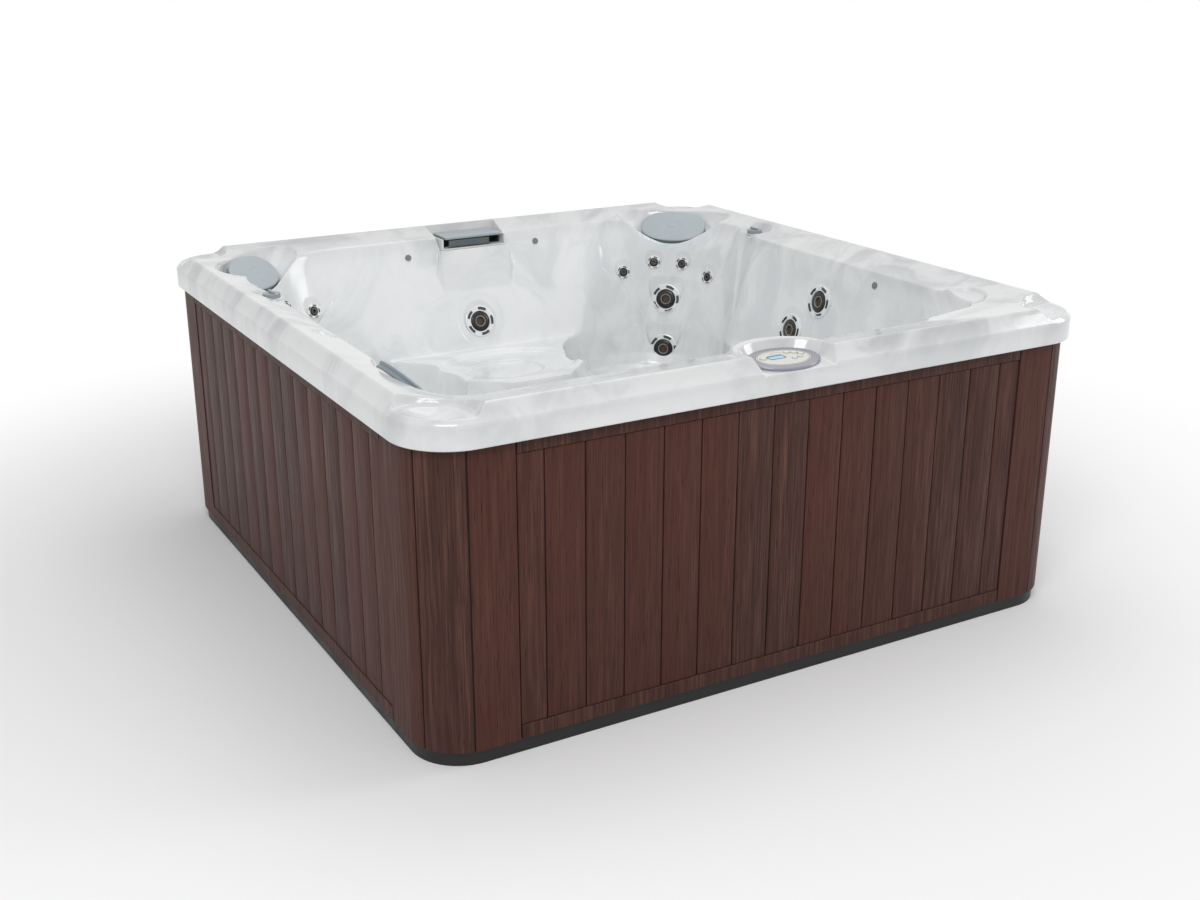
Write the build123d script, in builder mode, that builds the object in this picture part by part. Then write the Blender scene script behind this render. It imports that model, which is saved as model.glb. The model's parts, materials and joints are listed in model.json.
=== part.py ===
from build123d import *
import os
from math import cos, hypot, radians, sin, sqrt

# Square acrylic hot tub on a polymer base pan, with a boarded cabinet.
# The front, where the control panel sits, faces -Y; the origin is at the floor, in the middle.

os.makedirs("parts", exist_ok=True)

# Overall sizes, in millimetres
tub_side = 2130
crest_height = 931
acrylic = 8
clearance = 0.3
big = 4000
pocket_reach = 70
cut_top = 1010

# Lip of the shell
lip_bottom = 831
lip_edge = 890
lip_corner = 160
bevel_run = 36
lip_half = tub_side / 2
crest_half = lip_half - bevel_run

# Cabinet
cabinet_inset = 18.6
cabinet_half = lip_half - cabinet_inset
cabinet_corner = 145
board_thickness = 14
board_bottom = 39.5
board_top = 840
post_leg = 242
post_gap = 4
rail_top_drop = 36
rail_bottom_rise = 40.5
field_depth = 2.5
groove_pitch = 112
groove_count = 14
groove_width = 4
groove_depth = 5
post_groove_angles = (27, 79)

# Base pan
pan_half = lip_half - 27
pan_corner = 137
pan_floor = 12
kerb_width = 66
pan_rib_width = 24
pan_rib_length = 500
pan_rib_pitch = 200

# Timber frame
stud_width = 60
stud_depth = 38
frame_gap = 1
frame_half = cabinet_half - board_thickness - frame_gap
frame_top = 806
frame_half_length = 900
stud_places = (-870, -435, 0, 435, 870)
skimmer_frame_gap = 165
clip_thick = 3
clip_width = 40
clip_reach = 30
clip_rise = 26
clip_places = (-700, 0, 700)

# Basin outlines: west, east, south, north, the corner radii and the cut corner, per level
deck_level = 897
bench_level = 505
floor_level = 95
crest_line = crest_half - 3
wall_west = -912
wall_east = 885
wall_south = -868
wall_north = 935
bench_west = -800
bench_east = 800
bench_south = -760
bench_north = 800
crest_corner = 120
deck_pod_corner = 420
bench_pod_corner = 330
deck_lounge_corner = 110
bench_lounge_corner = 90
crest_cut = 70
deck_cut = 285
bench_cut = 250
cut_corner = 66
bench_fillet = 38

# Corner seats at the back, turned about a standing axis
pod_axis = 527
pod_seat_level = 330
pod_seat_radius = 235
pod_back = ((292, 400), (305, 500), (343, 690), (378, 820), (404, 915))
pod_fillet = 55
mouth_length = 560
mouth_width = 300
mouth_rise = 12

# Lounge along the front, from the pillow on the left to the foot end on the right
lounge_back_side = -330
lounge_front_side = -752
lounge_line = ((-876, 872), (-856, 790), (-560, 430), (-330, 392), (60, 500),
               (330, 505), (560, 425), (770, 425), (800, 520))
lounge_radii = (0, 60, 200, 160, 260, 200, 120, 30, 0)

# Middle seat on the right
right_seat_level = 430
right_seat_west = 300
right_seat_half = 250
right_seat_inset = 22
seat_corner = 90
seat_fillet = 30

# Footwell
well_half_top = 345
well_half_bottom = 300
well_corner = 130
well_fillet = 45

# Pillows: an oval cushion on a sloping bed
pillow_length = 256
pillow_width = 146
pillow_thick = 27
pillow_crown = 6
pillow_bed_margin = 5
pillow_tilt = 39
pillow_reach = 1190
pillow_bed_level = 852.6
lounge_pillow_x = -905
lounge_pillow_y = -620
lounge_pillow_level = 856
lounge_pillow_tilt = 48

# Dishes in the corners of the rim
notch_centre = 975
notch_long = 105
notch_short = 75
notch_level = 903
dish_long = 72
dish_short = 46
dish_level = 893

# Seatless corner at the front right
boss_x, boss_y = 862, -742
boss_long, boss_short = 122, 88
boss_level = 910
recess_long, recess_short = 96, 60
recess_level = 895

# Control panel on the front rim
panel_x, panel_y, panel_z = 8, -985, 896
panel_long, panel_short = 214, 150
panel_tilt = 5
bezel_thick = 8
bezel_round = 4
faceplate_long, faceplate_short = 160, 106
faceplate_thick = 4
faceplate_recess = 3.5
lcd_x, lcd_y = -18, 7
lcd_long, lcd_short = 46, 20
lcd_thick = 2
panel_margin = 6
panel_splay = 24
shroud_margin = 30
shroud_level = 925
shroud_base = 872
shroud_back = 12

# Air control knobs on the side rims
knob_places = ((945, 450), (-926, 350))
knob_recess_long, knob_recess_short = 54, 38
knob_recess_level = 893
knob_radius = 27
knob_height = 20
knob_base_radius = 32
knob_base_thick = 3
knob_lever_length = 46
knob_lever_width = 9
knob_lever_height = 7
knob_shaft_radius = 8
knob_shaft_length = 26
valve_radius = 13
valve_depth = 55
running_fit = 0.05

# Shallow finger recess on the left rim
finger_x, finger_y = -945, -180
finger_long, finger_short = 40, 27
finger_level = 892

# Skimmer in the back rim
skimmer_x = 12
skimmer_width = 252
skimmer_front = 896
skimmer_back = 1018
skimmer_sill = 862
skimmer_wall = 4
skimmer_cheek = 5
skimmer_bottom = 600
bucket_front = 934
skimmer_lid_width = 224
skimmer_lid_depth = 108
skimmer_lid_thick = 8
skimmer_lid_level = 899
skimmer_flange_thick = 3
lid_hinge_y = 1006
hinge_pin_radius = 2.5
weir_x = -4
weir_width = 160
weir_y = 908
weir_level = 869.5
weir_height = 24
weir_thick = 6
weir_pin_radius = 2
bucket_drain_x = 60
bucket_drain_radius = 25
bucket_drain_length = 40
filter_radius = 34
filter_length = 230
filter_spacing = 116
filter_pleats = 18

# Buttons on the control panel: places on its face, and their half sizes
button_places = {"button_jets": (-58, 9, 8, 6), "button_light": (30, 28, 8, 6),
                 "button_menu": (48, 21, 8, 6), "button_filter": (61, 8, 8, 6),
                 "button_up": (47, -9, 7, 5), "button_down": (27, -14, 7, 5)}
button_height = 3.6
button_travel = 1
button_gap = 0.3
button_well = 3.4

# Small lights above the water line
light_places = (("back", -242, 842), ("back", 274, 852), ("right", -318, 858))
light_radius = 11
light_barrel = 7
light_barrel_length = 26

# Fittings in the footwell
suction_x = (-100, 100)
suction_level = 185
suction_radius = 52
suction_thick = 14
suction_slots = 9
pipe_radius = 25
pipe_wall = 3
branch_radius = 22
suction_spigot = 30
lens_level = 260
lens_radius = 45
lens_thick = 9
lens_barrel = 20

# Pump, heater and control box under the front benches
pump_x, pump_y = -250, -700
volute_radius = 95
volute_width = 96
volute_wall = 6
impeller_radius = 62
impeller_width = 26
impeller_vanes = 7
shaft_radius = 9
motor_radius = 80
motor_length = 255
motor_bore_length = 90
motor_fins = 28
outlet_drop = 62
outlet_top = 275
foot_width = 150
pressure_level = 324
heater_start, heater_end = 100, 460
heater_radius = 35
box_west, box_length = 20, 400
box_depth = 150
box_wall = 4
box_cover = 6
box_height = 270

# Pipes and hoses
main_half = 600
main_level = 260
main_end = -650
pipe_bend = 60
pressure_bend = 45
branch_gap = 140
manifold_place = 590
manifold_radius = 55
manifold_bottom, manifold_top = 216, 310
filter_pipe_x = 760
filter_pipe_y = 965
hose_radius = 10
hose_wall = 2
hose_bend = 36
hose_back_short, hose_back_long = 40, 110
hose_levels = {"upper": 238, "lower": 266, "small": 294}

# Jets
large_face, small_face = 116, 52
large_bore, small_bore = 60, 30
large_body, small_body = 76, 40
large_depth, small_depth = 70, 50
jet_rim_thick = 3
jet_face_thick = 8
jet_stem_length = 24
jet_notches = 5
jet_barb_radius = 9
jet_barb_length = 22
jet_pocket_depth = 4
jet_pocket_margin = 5
hole_reach = 30
small_jet_places = ((28.5, 705), (9, 740), (-9, 740), (-28.5, 705))
lounge_jet_places = (-480, -600)
lounge_jet_level = 640
nut_thick = 12
nut_margin = 11


def corner_near(sketch, x, y):
    """The sketch corner nearest to a place."""
    return sketch.vertices().sort_by(lambda v: hypot(v.X - x, v.Y - y))[0]


def outline(west, east, south, north, pod_corner, lounge_corner, cut, grow=0):
    """Outline of the basin at one level, with the front right corner cut off."""
    with BuildSketch(mode=Mode.PRIVATE) as level:
        with BuildLine():
            Polyline((west, south), (east - cut, south), (east, south + cut), (east, north),
                     (west, north), close=True)
        make_face()
        fillet([corner_near(level, west, north), corner_near(level, east, north)], pod_corner)
        fillet(corner_near(level, west, south), lounge_corner)
        fillet([corner_near(level, east - cut, south), corner_near(level, east, south + cut)],
               cut_corner)
        if grow:
            offset(amount=grow)
    return level.sketch


def stack(levels):
    """A solid through flat outlines, each given with its height."""
    with BuildPart(mode=Mode.PRIVATE) as body:
        for height, shape in levels:
            with BuildSketch(Plane.XY.offset(height)):
                add(shape)
        loft(ruled=True)
    return body.part


def square_outline(half, corner):
    """A square with rounded corners."""
    with BuildSketch(mode=Mode.PRIVATE) as square:
        RectangleRounded(2 * half, 2 * half, corner)
    return square.sketch


def save(body, name):
    """Label a finished piece and write it."""
    body.part.label = name
    export_step(body.part, "parts/" + name + ".step")


def oval(plane, long, short, height, grow=0):
    """An oval block that stands on a plane, grown sideways and below the plane."""
    with BuildPart(mode=Mode.PRIVATE) as block:
        with BuildSketch(plane.offset(-grow)):
            Ellipse(long + grow, short + grow)
        extrude(amount=height + grow)
    return block.part


def bowl(grow=0):
    """The open room of the tub above the benches, or its outside when it is grown."""
    crest = outline(-crest_line, crest_line, -crest_line, crest_line, crest_corner,
                    crest_corner, crest_cut, grow)
    deck = outline(wall_west, wall_east, wall_south, wall_north, deck_pod_corner,
                   deck_lounge_corner, deck_cut, grow)
    bench = outline(bench_west, bench_east, bench_south, bench_north, bench_pod_corner,
                    bench_lounge_corner, bench_cut, grow)
    levels = [(crest_height - grow, crest), (deck_level - grow, deck), (bench_level - grow, bench)]
    if not grow:
        levels.insert(0, (cut_top, crest))
    with BuildPart(mode=Mode.PRIVATE) as room:
        add(stack(levels))
        fillet(room.edges().group_by(Axis.Z)[0], bench_fillet + grow)
    return room.part


def pod(side, grow=0):
    """A corner seat, turned about its standing axis, with a mouth towards the footwell."""
    top = crest_height - grow if grow else cut_top
    back = [(radius + grow, height) for radius, height in pod_back]
    seat_level = pod_seat_level - grow
    upright = Plane(origin=(side * pod_axis, pod_axis, 0), x_dir=(1, 0, 0), z_dir=(0, -1, 0))
    flat = Plane(origin=(side * pod_axis, pod_axis, 0), x_dir=(-side, -1, 0), z_dir=(0, 0, 1))
    with BuildPart(mode=Mode.PRIVATE) as seat:
        with BuildSketch(upright) as profile:
            with BuildLine():
                Polyline((0, seat_level), (pod_seat_radius + grow, seat_level), *back,
                         (back[-1][0], top), (0, top), close=True)
            make_face()
            fillet(corner_near(profile, pod_seat_radius + grow, seat_level), pod_fillet)
        revolve(axis=Axis((side * pod_axis, pod_axis, 0), (0, 0, 1)))
        with BuildSketch(flat.offset(seat_level)):
            with Locations((mouth_length / 2, 0)):
                Rectangle(mouth_length, mouth_width + 2 * grow)
        extrude(amount=bench_level - seat_level + mouth_rise)
    return seat.part


def lounge(grow=0):
    """The reclining seat along the front."""
    top = crest_height - grow if grow else cut_top
    first, last = lounge_line[0], lounge_line[-1]
    with BuildPart(mode=Mode.PRIVATE) as seat:
        with BuildSketch(Plane.XZ.offset(-lounge_back_side - grow)) as profile:
            with BuildLine():
                Polyline(*lounge_line, (last[0], top - grow), (first[0], top - grow), close=True)
            make_face()
            for (x, z), radius in zip(lounge_line, lounge_radii):
                if radius:
                    fillet(corner_near(profile, x, z), radius)
            if grow:
                offset(amount=grow)
        extrude(amount=lounge_back_side - lounge_front_side + 2 * grow)
    return seat.part


def right_seat(grow=0):
    """The lower middle seat on the right."""
    east = bench_east - right_seat_inset
    middle = (right_seat_west + east) / 2
    with BuildPart(mode=Mode.PRIVATE) as seat:
        with BuildSketch(Plane.XY.offset(right_seat_level - grow)):
            with Locations((middle, 0)):
                RectangleRounded(east - right_seat_west + 2 * grow,
                                 2 * (right_seat_half + grow), seat_corner + grow)
        extrude(amount=bench_level - right_seat_level + mouth_rise)
        fillet(seat.faces().sort_by(Axis.Z)[0].edges(), seat_fillet + grow)
    return seat.part


def footwell(grow=0):
    """The deep middle of the tub, where the feet go."""
    levels = [(floor_level - grow, square_outline(well_half_bottom + grow, well_corner + grow)),
              (bench_level + mouth_rise, square_outline(well_half_top + grow, well_corner + grow))]
    with BuildPart(mode=Mode.PRIVATE) as well:
        add(stack(levels))
        fillet(well.faces().sort_by(Axis.Z)[0].edges(), well_fillet + grow)
    return well.part


def pillow_plane(side):
    """The sloping bed under a corner pillow: its middle, its long way and its normal."""
    slope = radians(pillow_tilt)
    across = pillow_reach / sqrt(2)
    normal = (-side * sin(slope) / sqrt(2), -sin(slope) / sqrt(2), cos(slope))
    return Plane(origin=(side * across, across, pillow_bed_level), x_dir=(-side, 1, 0),
                 z_dir=normal)


def lounge_pillow_plane():
    """The sloping bed under the pillow at the head of the lounge."""
    slope = radians(lounge_pillow_tilt)
    return Plane(origin=(lounge_pillow_x, lounge_pillow_y, lounge_pillow_level),
                 x_dir=(0, 1, 0), z_dir=(sin(slope), 0, cos(slope)))


pillow_planes = {"bl": pillow_plane(-1), "br": pillow_plane(1), "fl": lounge_pillow_plane()}


def pod_radius(height):
    """How far the back of a corner seat stands from its axis, and its slope, at one height."""
    for (low_radius, low), (high_radius, high) in zip(pod_back, pod_back[1:]):
        if low <= height <= high:
            slope = (high_radius - low_radius) / (high - low)
            return low_radius + slope * (height - low), slope


def pod_jet_plane(side, bearing, height):
    """Seat of a jet on the back of a corner seat, at a bearing from the tub's diagonal."""
    radius, slope = pod_radius(height)
    turn = radians(45 + bearing)
    outward = Vector(side * cos(turn), sin(turn), 0)
    normal = Vector(-outward.X, -outward.Y, slope).normalized()
    place = Vector(side * pod_axis, pod_axis, height) + outward * radius
    return Plane(origin=place - normal * jet_pocket_depth,
                 x_dir=Vector(-outward.Y, outward.X, 0), z_dir=normal)


def wall_jet_plane(x_wall, y_wall, along, height):
    """Seat of a jet on a sloping side wall, along the wall at a height."""
    rise = deck_level - bench_level
    part = (height - bench_level) / rise
    if y_wall:
        place = Vector(along, bench_north + (wall_north - bench_north) * part, height)
        normal = Vector(0, -1, (wall_north - bench_north) / rise).normalized()
    else:
        place = Vector(bench_east + (wall_east - bench_east) * part, along, height)
        normal = Vector(-1, 0, (wall_east - bench_east) / rise).normalized()
    return Plane(origin=place - normal * jet_pocket_depth,
                 x_dir=normal.cross(Vector(0, 0, 1)), z_dir=normal)


def lounge_jet_plane(along):
    """Seat of a jet on the left wall, at the head of the lounge."""
    rise = deck_level - bench_level
    part = (lounge_jet_level - bench_level) / rise
    place = Vector(bench_west + (wall_west - bench_west) * part, along, lounge_jet_level)
    normal = Vector(1, 0, (bench_west - wall_west) / rise).normalized()
    return Plane(origin=place - normal * jet_pocket_depth, x_dir=(0, 1, 0), z_dir=normal)


large_jets = {"back": wall_jet_plane(False, True, -4, 597),
              "right_upper": wall_jet_plane(True, False, -63, 753),
              "right_lower": wall_jet_plane(True, False, 57, 630)}
small_jets = {}
for side, corner in ((-1, "bl"), (1, "br")):
    for place, height in (("upper", 605), ("lower", 414)):
        large_jets[corner + "_" + place] = pod_jet_plane(side, 0, height)
    for number, (bearing, height) in enumerate(small_jet_places, 1):
        small_jets[corner + "_" + str(number)] = pod_jet_plane(side, bearing, height)
for number, along in enumerate(lounge_jet_places, 1):
    small_jets["lounge_" + str(number)] = lounge_jet_plane(along)
jets = [(plane, large_face, large_body, large_bore, large_depth) for plane in large_jets.values()]
jets += [(plane, small_face, small_body, small_bore, small_depth) for plane in small_jets.values()]


def jet_pockets(grow=0):
    """The flat round pockets in which the jets sit."""
    blocks = []
    for plane, face, body, bore, depth in jets:
        reach = face / 2 + jet_pocket_margin
        blocks.append(oval(plane, reach, reach - 0.01, pocket_reach, grow))
    return blocks


def room_pieces(grow=0):
    """Every hollow of the basin inside the crest of the rim."""
    pieces = [pod(-1, grow), pod(1, grow), lounge(grow), right_seat(grow), footwell(grow)]
    for plane in pillow_planes.values():
        pieces.append(oval(plane, pillow_length / 2 + pillow_bed_margin,
                           pillow_width / 2 + pillow_bed_margin, pocket_reach, grow))
    return pieces + jet_pockets(grow)


def panel_pocket(grow=0):
    """Outline of the pocket round the control panel, open and wider towards the front."""
    reach = panel_long / 2 + panel_margin
    with BuildSketch(mode=Mode.PRIVATE) as pocket:
        Ellipse(reach, panel_short / 2 + panel_margin)
        with BuildLine():
            Polyline((-reach, 0), (reach, 0), (reach + panel_splay, -panel_short),
                     (-reach - panel_splay, -panel_short), close=True)
        make_face()
        if grow:
            offset(amount=grow)
    return pocket.sketch


panel_plane = Plane(origin=(panel_x, panel_y, panel_z), x_dir=(1, 0, 0),
                    z_dir=(0, -sin(radians(panel_tilt)), cos(radians(panel_tilt))))


def corner_plane(x_side, y_side, height):
    """A flat plane over one corner of the rim, with its long way across the corner."""
    return Plane(origin=(x_side * notch_centre, y_side * notch_centre, height),
                 x_dir=(-x_side, y_side, 0), z_dir=(0, 0, 1))


def rim_pieces(grow=0):
    """The dishes and recesses in the rim."""
    pieces = []
    for x_side in (-1, 1):
        for y_side in (-1, 1):
            pieces.append(oval(corner_plane(x_side, y_side, notch_level), notch_long,
                               notch_short, pocket_reach, grow))
            pieces.append(oval(corner_plane(x_side, y_side, dish_level), dish_long,
                               dish_short, notch_level - dish_level + 1, grow))
    for x, y in knob_places:
        plane = Plane(origin=(x, y, knob_recess_level), x_dir=(0, 1, 0), z_dir=(0, 0, 1))
        pieces.append(oval(plane, knob_recess_long, knob_recess_short, pocket_reach, grow))
    finger = Plane(origin=(finger_x, finger_y, finger_level), x_dir=(0, 1, 0), z_dir=(0, 0, 1))
    pieces.append(oval(finger, finger_long, finger_short, pocket_reach, grow))
    with BuildPart(mode=Mode.PRIVATE) as skimmer_recess:
        with BuildSketch(Plane.XY.offset(skimmer_sill - grow)):
            with Locations((skimmer_x, (skimmer_front + skimmer_back) / 2)):
                Rectangle(skimmer_width + 2 * grow, skimmer_back - skimmer_front + 2 * grow)
        extrude(amount=pocket_reach + grow)
    return pieces + [skimmer_recess.part]


lip_levels = [(lip_bottom, square_outline(lip_half, lip_corner)),
              (lip_edge, square_outline(lip_half, lip_corner)),
              (crest_height, square_outline(crest_half, lip_corner - bevel_run))]
under_levels = [(lip_bottom - 1, square_outline(lip_half - acrylic, lip_corner - acrylic)),
                (lip_edge - acrylic / 2, square_outline(lip_half - acrylic, lip_corner - acrylic)),
                (crest_height - acrylic,
                 square_outline(crest_half - acrylic / 2, lip_corner - bevel_run - acrylic / 2))]
lip_block = stack(lip_levels)

# Rim features are skinned only where they lie inside the lip
with BuildPart() as rim_skin:
    for piece in rim_pieces(acrylic):
        add(piece)
    add(lip_block, mode=Mode.INTERSECT)

valve_planes = [Plane(origin=(x, y, knob_recess_level), x_dir=(0, 1, 0), z_dir=(0, 0, 1))
                for x, y in knob_places]
light_planes = [wall_jet_plane(wall == "right", wall == "back", along, height)
                for wall, along, height in light_places]
light_planes = [plane.offset(jet_pocket_depth) for plane in light_planes]
well_slope = (well_half_top - well_half_bottom) / (bench_level + mouth_rise - floor_level)


def well_half(height):
    """Half the width of the footwell at one height."""
    return well_half_bottom + well_slope * (height - floor_level)


suction_planes = [Plane(origin=(x, -well_half(suction_level), suction_level), x_dir=(1, 0, 0),
                        z_dir=(0, 1, well_slope)) for x in suction_x]
suction_pipes = [Plane(origin=plane.origin, x_dir=(1, 0, 0), z_dir=(0, 1, 0))
                 for plane in suction_planes]
lens_plane = Plane(origin=(-well_half(lens_level), 0, lens_level), x_dir=(0, 1, 0),
                   z_dir=(1, 0, well_slope))
bucket_width = skimmer_width - 2 * skimmer_wall
bucket_depth = skimmer_back - skimmer_wall - bucket_front
bucket_y = bucket_front + bucket_depth / 2

corner_boss_plane = Plane(origin=(boss_x, boss_y, 0), x_dir=(1, 1, 0), z_dir=(0, 0, 1))



def slab(plane, shape, low, high):
    """A block on a plane, from one height over it to another."""
    with BuildPart(mode=Mode.PRIVATE) as block:
        with BuildSketch(plane.offset(low)):
            add(shape)
        extrude(amount=high - low)
    return block.part


def disc(radius):
    """A flat disc."""
    with BuildSketch(mode=Mode.PRIVATE) as flat:
        Circle(radius)
    return flat.sketch


# Block under and round the control panel, and the pocket that is cut into it
with BuildPart() as shroud:
    with BuildSketch(Plane.XY.offset(shroud_base)):
        with Locations((panel_x, panel_y + shroud_back)):
            Ellipse(panel_long / 2 + shroud_margin, panel_short / 2 + shroud_margin)
        with Locations((panel_x, panel_y)):
            add(panel_pocket(acrylic))
    extrude(amount=shroud_level - shroud_base)
    add(lip_block, mode=Mode.INTERSECT)
panel_recess = slab(panel_plane, panel_pocket(), -bezel_thick / 2, pocket_reach)

# Holes for the jets, the air valves, the lights, the suction fittings and the lens
shell_holes = [slab(plane, disc(body / 2 + clearance), -hole_reach, hole_reach)
               for plane, face, body, bore, depth in jets]
shell_holes += [slab(plane, disc(valve_radius + clearance), -hole_reach, 1)
                for plane in valve_planes]
shell_holes += [slab(plane, disc(light_barrel + clearance), -hole_reach, hole_reach)
                for plane in light_planes]
shell_holes += [slab(plane, disc(pipe_radius + clearance), -hole_reach, hole_reach)
                for plane in suction_pipes]
shell_holes.append(slab(lens_plane, disc(lens_barrel + clearance), -hole_reach, hole_reach))

with BuildPart() as shell:
    add(lip_block)
    add(stack(under_levels), mode=Mode.SUBTRACT)
    add([rim_skin.part, bowl(acrylic)] + room_pieces(acrylic))
    add([bowl()] + room_pieces(), mode=Mode.SUBTRACT)
    # Shroud round the control panel, and the oval boss in the seatless corner
    add(shroud.part)
    with BuildSketch(corner_boss_plane.offset(deck_level - acrylic)):
        Ellipse(boss_long, boss_short)
    extrude(amount=boss_level - deck_level + acrylic)
    add(rim_pieces() + [panel_recess], mode=Mode.SUBTRACT)
    with BuildSketch(corner_boss_plane.offset(recess_level)):
        Ellipse(recess_long, recess_short)
    extrude(amount=boss_level - recess_level + 1, mode=Mode.SUBTRACT)
    add(shell_holes, mode=Mode.SUBTRACT)
    with BuildSketch(Plane.XY.offset(skimmer_sill - 2 * acrylic)):
        with Locations((skimmer_x, bucket_y)):
            Rectangle(bucket_width + 2 * clearance, bucket_depth + 2 * clearance)
    extrude(amount=2 * acrylic + 1, mode=Mode.SUBTRACT)
save(shell, "shell")


def ring(half, corner, thickness):
    """A square band of one thickness."""
    with BuildSketch(mode=Mode.PRIVATE) as band:
        add(square_outline(half, corner))
        add(square_outline(half - thickness, corner - thickness), mode=Mode.SUBTRACT)
    return band.sketch


# Base pan: a tray whose kerb carries the cabinet and the frame, with ribs under the footwell
with BuildPart() as base_pan:
    with BuildSketch():
        add(square_outline(pan_half, pan_corner))
    extrude(amount=board_bottom - clearance)
    with BuildSketch(Plane.XY.offset(pan_floor)):
        add(square_outline(pan_half - kerb_width, pan_corner - kerb_width))
    extrude(amount=board_bottom, mode=Mode.SUBTRACT)
    with BuildSketch(Plane.XY.offset(pan_floor)):
        with GridLocations(pan_rib_pitch, 1, 3, 1):
            Rectangle(pan_rib_width, pan_rib_length)
    extrude(amount=floor_level - acrylic - clearance - pan_floor)
save(base_pan, "base_pan")


def side_plane(turn, inset=0):
    """A standing plane on one side of the cabinet, its X along the side and its Y up."""
    return Plane(origin=Vector(0, inset - cabinet_half, 0).rotate(Axis.Z, turn),
                 x_dir=Vector(1, 0, 0).rotate(Axis.Z, turn),
                 z_dir=Vector(0, -1, 0).rotate(Axis.Z, turn))


side_turns = {"front": 0, "right": 90, "back": 180, "left": 270}
corner_turns = {"fl": 0, "fr": 90, "br": 180, "bl": 270}
panel_half = cabinet_half - post_leg - post_gap
field_bottom = board_bottom + rail_bottom_rise
field_top = lip_bottom - rail_top_drop

# Boarded panels: rails above and below a sunk field, with a groove between the boards
for side, turn in side_turns.items():
    with BuildPart() as panel:
        with BuildSketch(side_plane(turn)):
            with Locations((0, (board_bottom + board_top) / 2)):
                Rectangle(2 * panel_half, board_top - board_bottom)
        extrude(amount=-board_thickness)
        with BuildSketch(side_plane(turn)):
            with Locations((0, (field_bottom + field_top) / 2)):
                Rectangle(2 * panel_half + 1, field_top - field_bottom)
        extrude(amount=-field_depth, mode=Mode.SUBTRACT)
        with BuildSketch(side_plane(turn)):
            with Locations((0, (field_bottom + field_top) / 2)):
                with GridLocations(groove_pitch, 1, groove_count, 1):
                    Rectangle(groove_width, field_top - field_bottom)
        extrude(amount=-groove_depth, mode=Mode.SUBTRACT)
    save(panel, "panel_" + side)

# Corner posts: a rounded corner board with two upright grooves
post_edge = cabinet_half - post_leg
for corner, turn in corner_turns.items():
    with BuildPart() as post:
        with BuildSketch(Plane.XY.offset(board_bottom)):
            add(ring(cabinet_half, cabinet_corner, board_thickness))
            middle = (post_edge + cabinet_half) / 2
            with Locations(Vector(-middle, -middle).rotate(Axis.Z, turn)):
                Rectangle(post_leg, post_leg, mode=Mode.INTERSECT)
            for angle in post_groove_angles:
                bend = cabinet_half - cabinet_corner
                place = Vector(-bend - cabinet_corner * cos(radians(angle)),
                               -bend - cabinet_corner * sin(radians(angle)))
                with Locations(Location(place.rotate(Axis.Z, turn), (0, 0, turn + angle))):
                    Rectangle(2 * groove_depth, groove_width, mode=Mode.SUBTRACT)
        extrude(amount=board_top - board_bottom)
    save(post, "corner_post_" + corner)

# Timber frame: sills, studs and head rails behind the panels
with BuildPart() as frame:
    for side, turn in side_turns.items():
        studs = [x for x in stud_places if x or side != "back"]
        heads = [(0, 2 * frame_half_length)]
        if side == "back":
            studs += [sign * (skimmer_frame_gap + stud_width / 2) - skimmer_x for sign in (-1, 1)]
            ends = [sign * skimmer_frame_gap - skimmer_x for sign in (-1, 1)]
            heads = [((ends[0] - frame_half_length) / 2, ends[0] + frame_half_length),
                     ((ends[1] + frame_half_length) / 2, frame_half_length - ends[1])]
        upright = side_plane(turn, board_thickness + frame_gap)
        with BuildSketch(upright):
            with Locations((0, board_bottom + stud_depth / 2)):
                Rectangle(2 * frame_half_length, stud_depth)
        extrude(amount=-stud_depth)
        with BuildSketch(upright):
            for x, length in heads:
                with Locations((x, frame_top - stud_depth / 2)):
                    Rectangle(length, stud_depth)
        extrude(amount=-stud_depth)
        with BuildSketch(upright):
            for x in studs:
                with Locations((x, (board_bottom + frame_top) / 2)):
                    Rectangle(stud_width, frame_top - board_bottom - 2 * stud_depth - 2 * clearance)
        extrude(amount=-stud_depth)
save(frame, "frame")

# Clips that hold the panels to the head rails
with BuildPart() as panel_clips:
    for side, turn in side_turns.items():
        for x in clip_places:
            if side == "back" and not x:
                continue
            with BuildSketch(side_plane(turn, board_thickness + clearance)):
                with Locations((x, frame_top + clearance + clip_rise / 2)):
                    Rectangle(clip_width, clip_rise)
            extrude(amount=-clip_thick)
            with BuildSketch(side_plane(turn, board_thickness + clearance)):
                with Locations((x, frame_top + clearance + clip_thick / 2)):
                    Rectangle(clip_width, clip_thick)
            extrude(amount=-clip_reach)
save(panel_clips, "panel_clips")

# Jets: a body and a nut through the shell, and a face that turns to set the flow
with BuildPart() as jet_bodies:
    for plane, face, body, bore, depth in jets:
        with BuildSketch(plane.offset(clearance)):
            Circle(face / 2 - jet_rim_thick)
        extrude(amount=jet_rim_thick)
        with BuildSketch(plane.offset(clearance + jet_rim_thick)):
            Circle(body / 2)
        extrude(amount=-depth - clearance - jet_rim_thick)
        with BuildSketch(plane.offset(nut_thick / 2 - depth)):
            Circle(jet_barb_radius)
        extrude(amount=-jet_barb_length - nut_thick / 2)
        with BuildSketch(plane.offset(clearance + jet_rim_thick)):
            Circle(bore / 2)
        extrude(amount=-depth + nut_thick, mode=Mode.SUBTRACT)
save(jet_bodies, "jet_bodies")

with BuildPart() as jet_nuts:
    for plane, face, body, bore, depth in jets:
        with BuildSketch(plane.offset(-acrylic - clearance)):
            Circle(body / 2 + nut_margin)
            Circle(body / 2 + clearance, mode=Mode.SUBTRACT)
        extrude(amount=-nut_thick)
save(jet_nuts, "jet_nuts")


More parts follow.
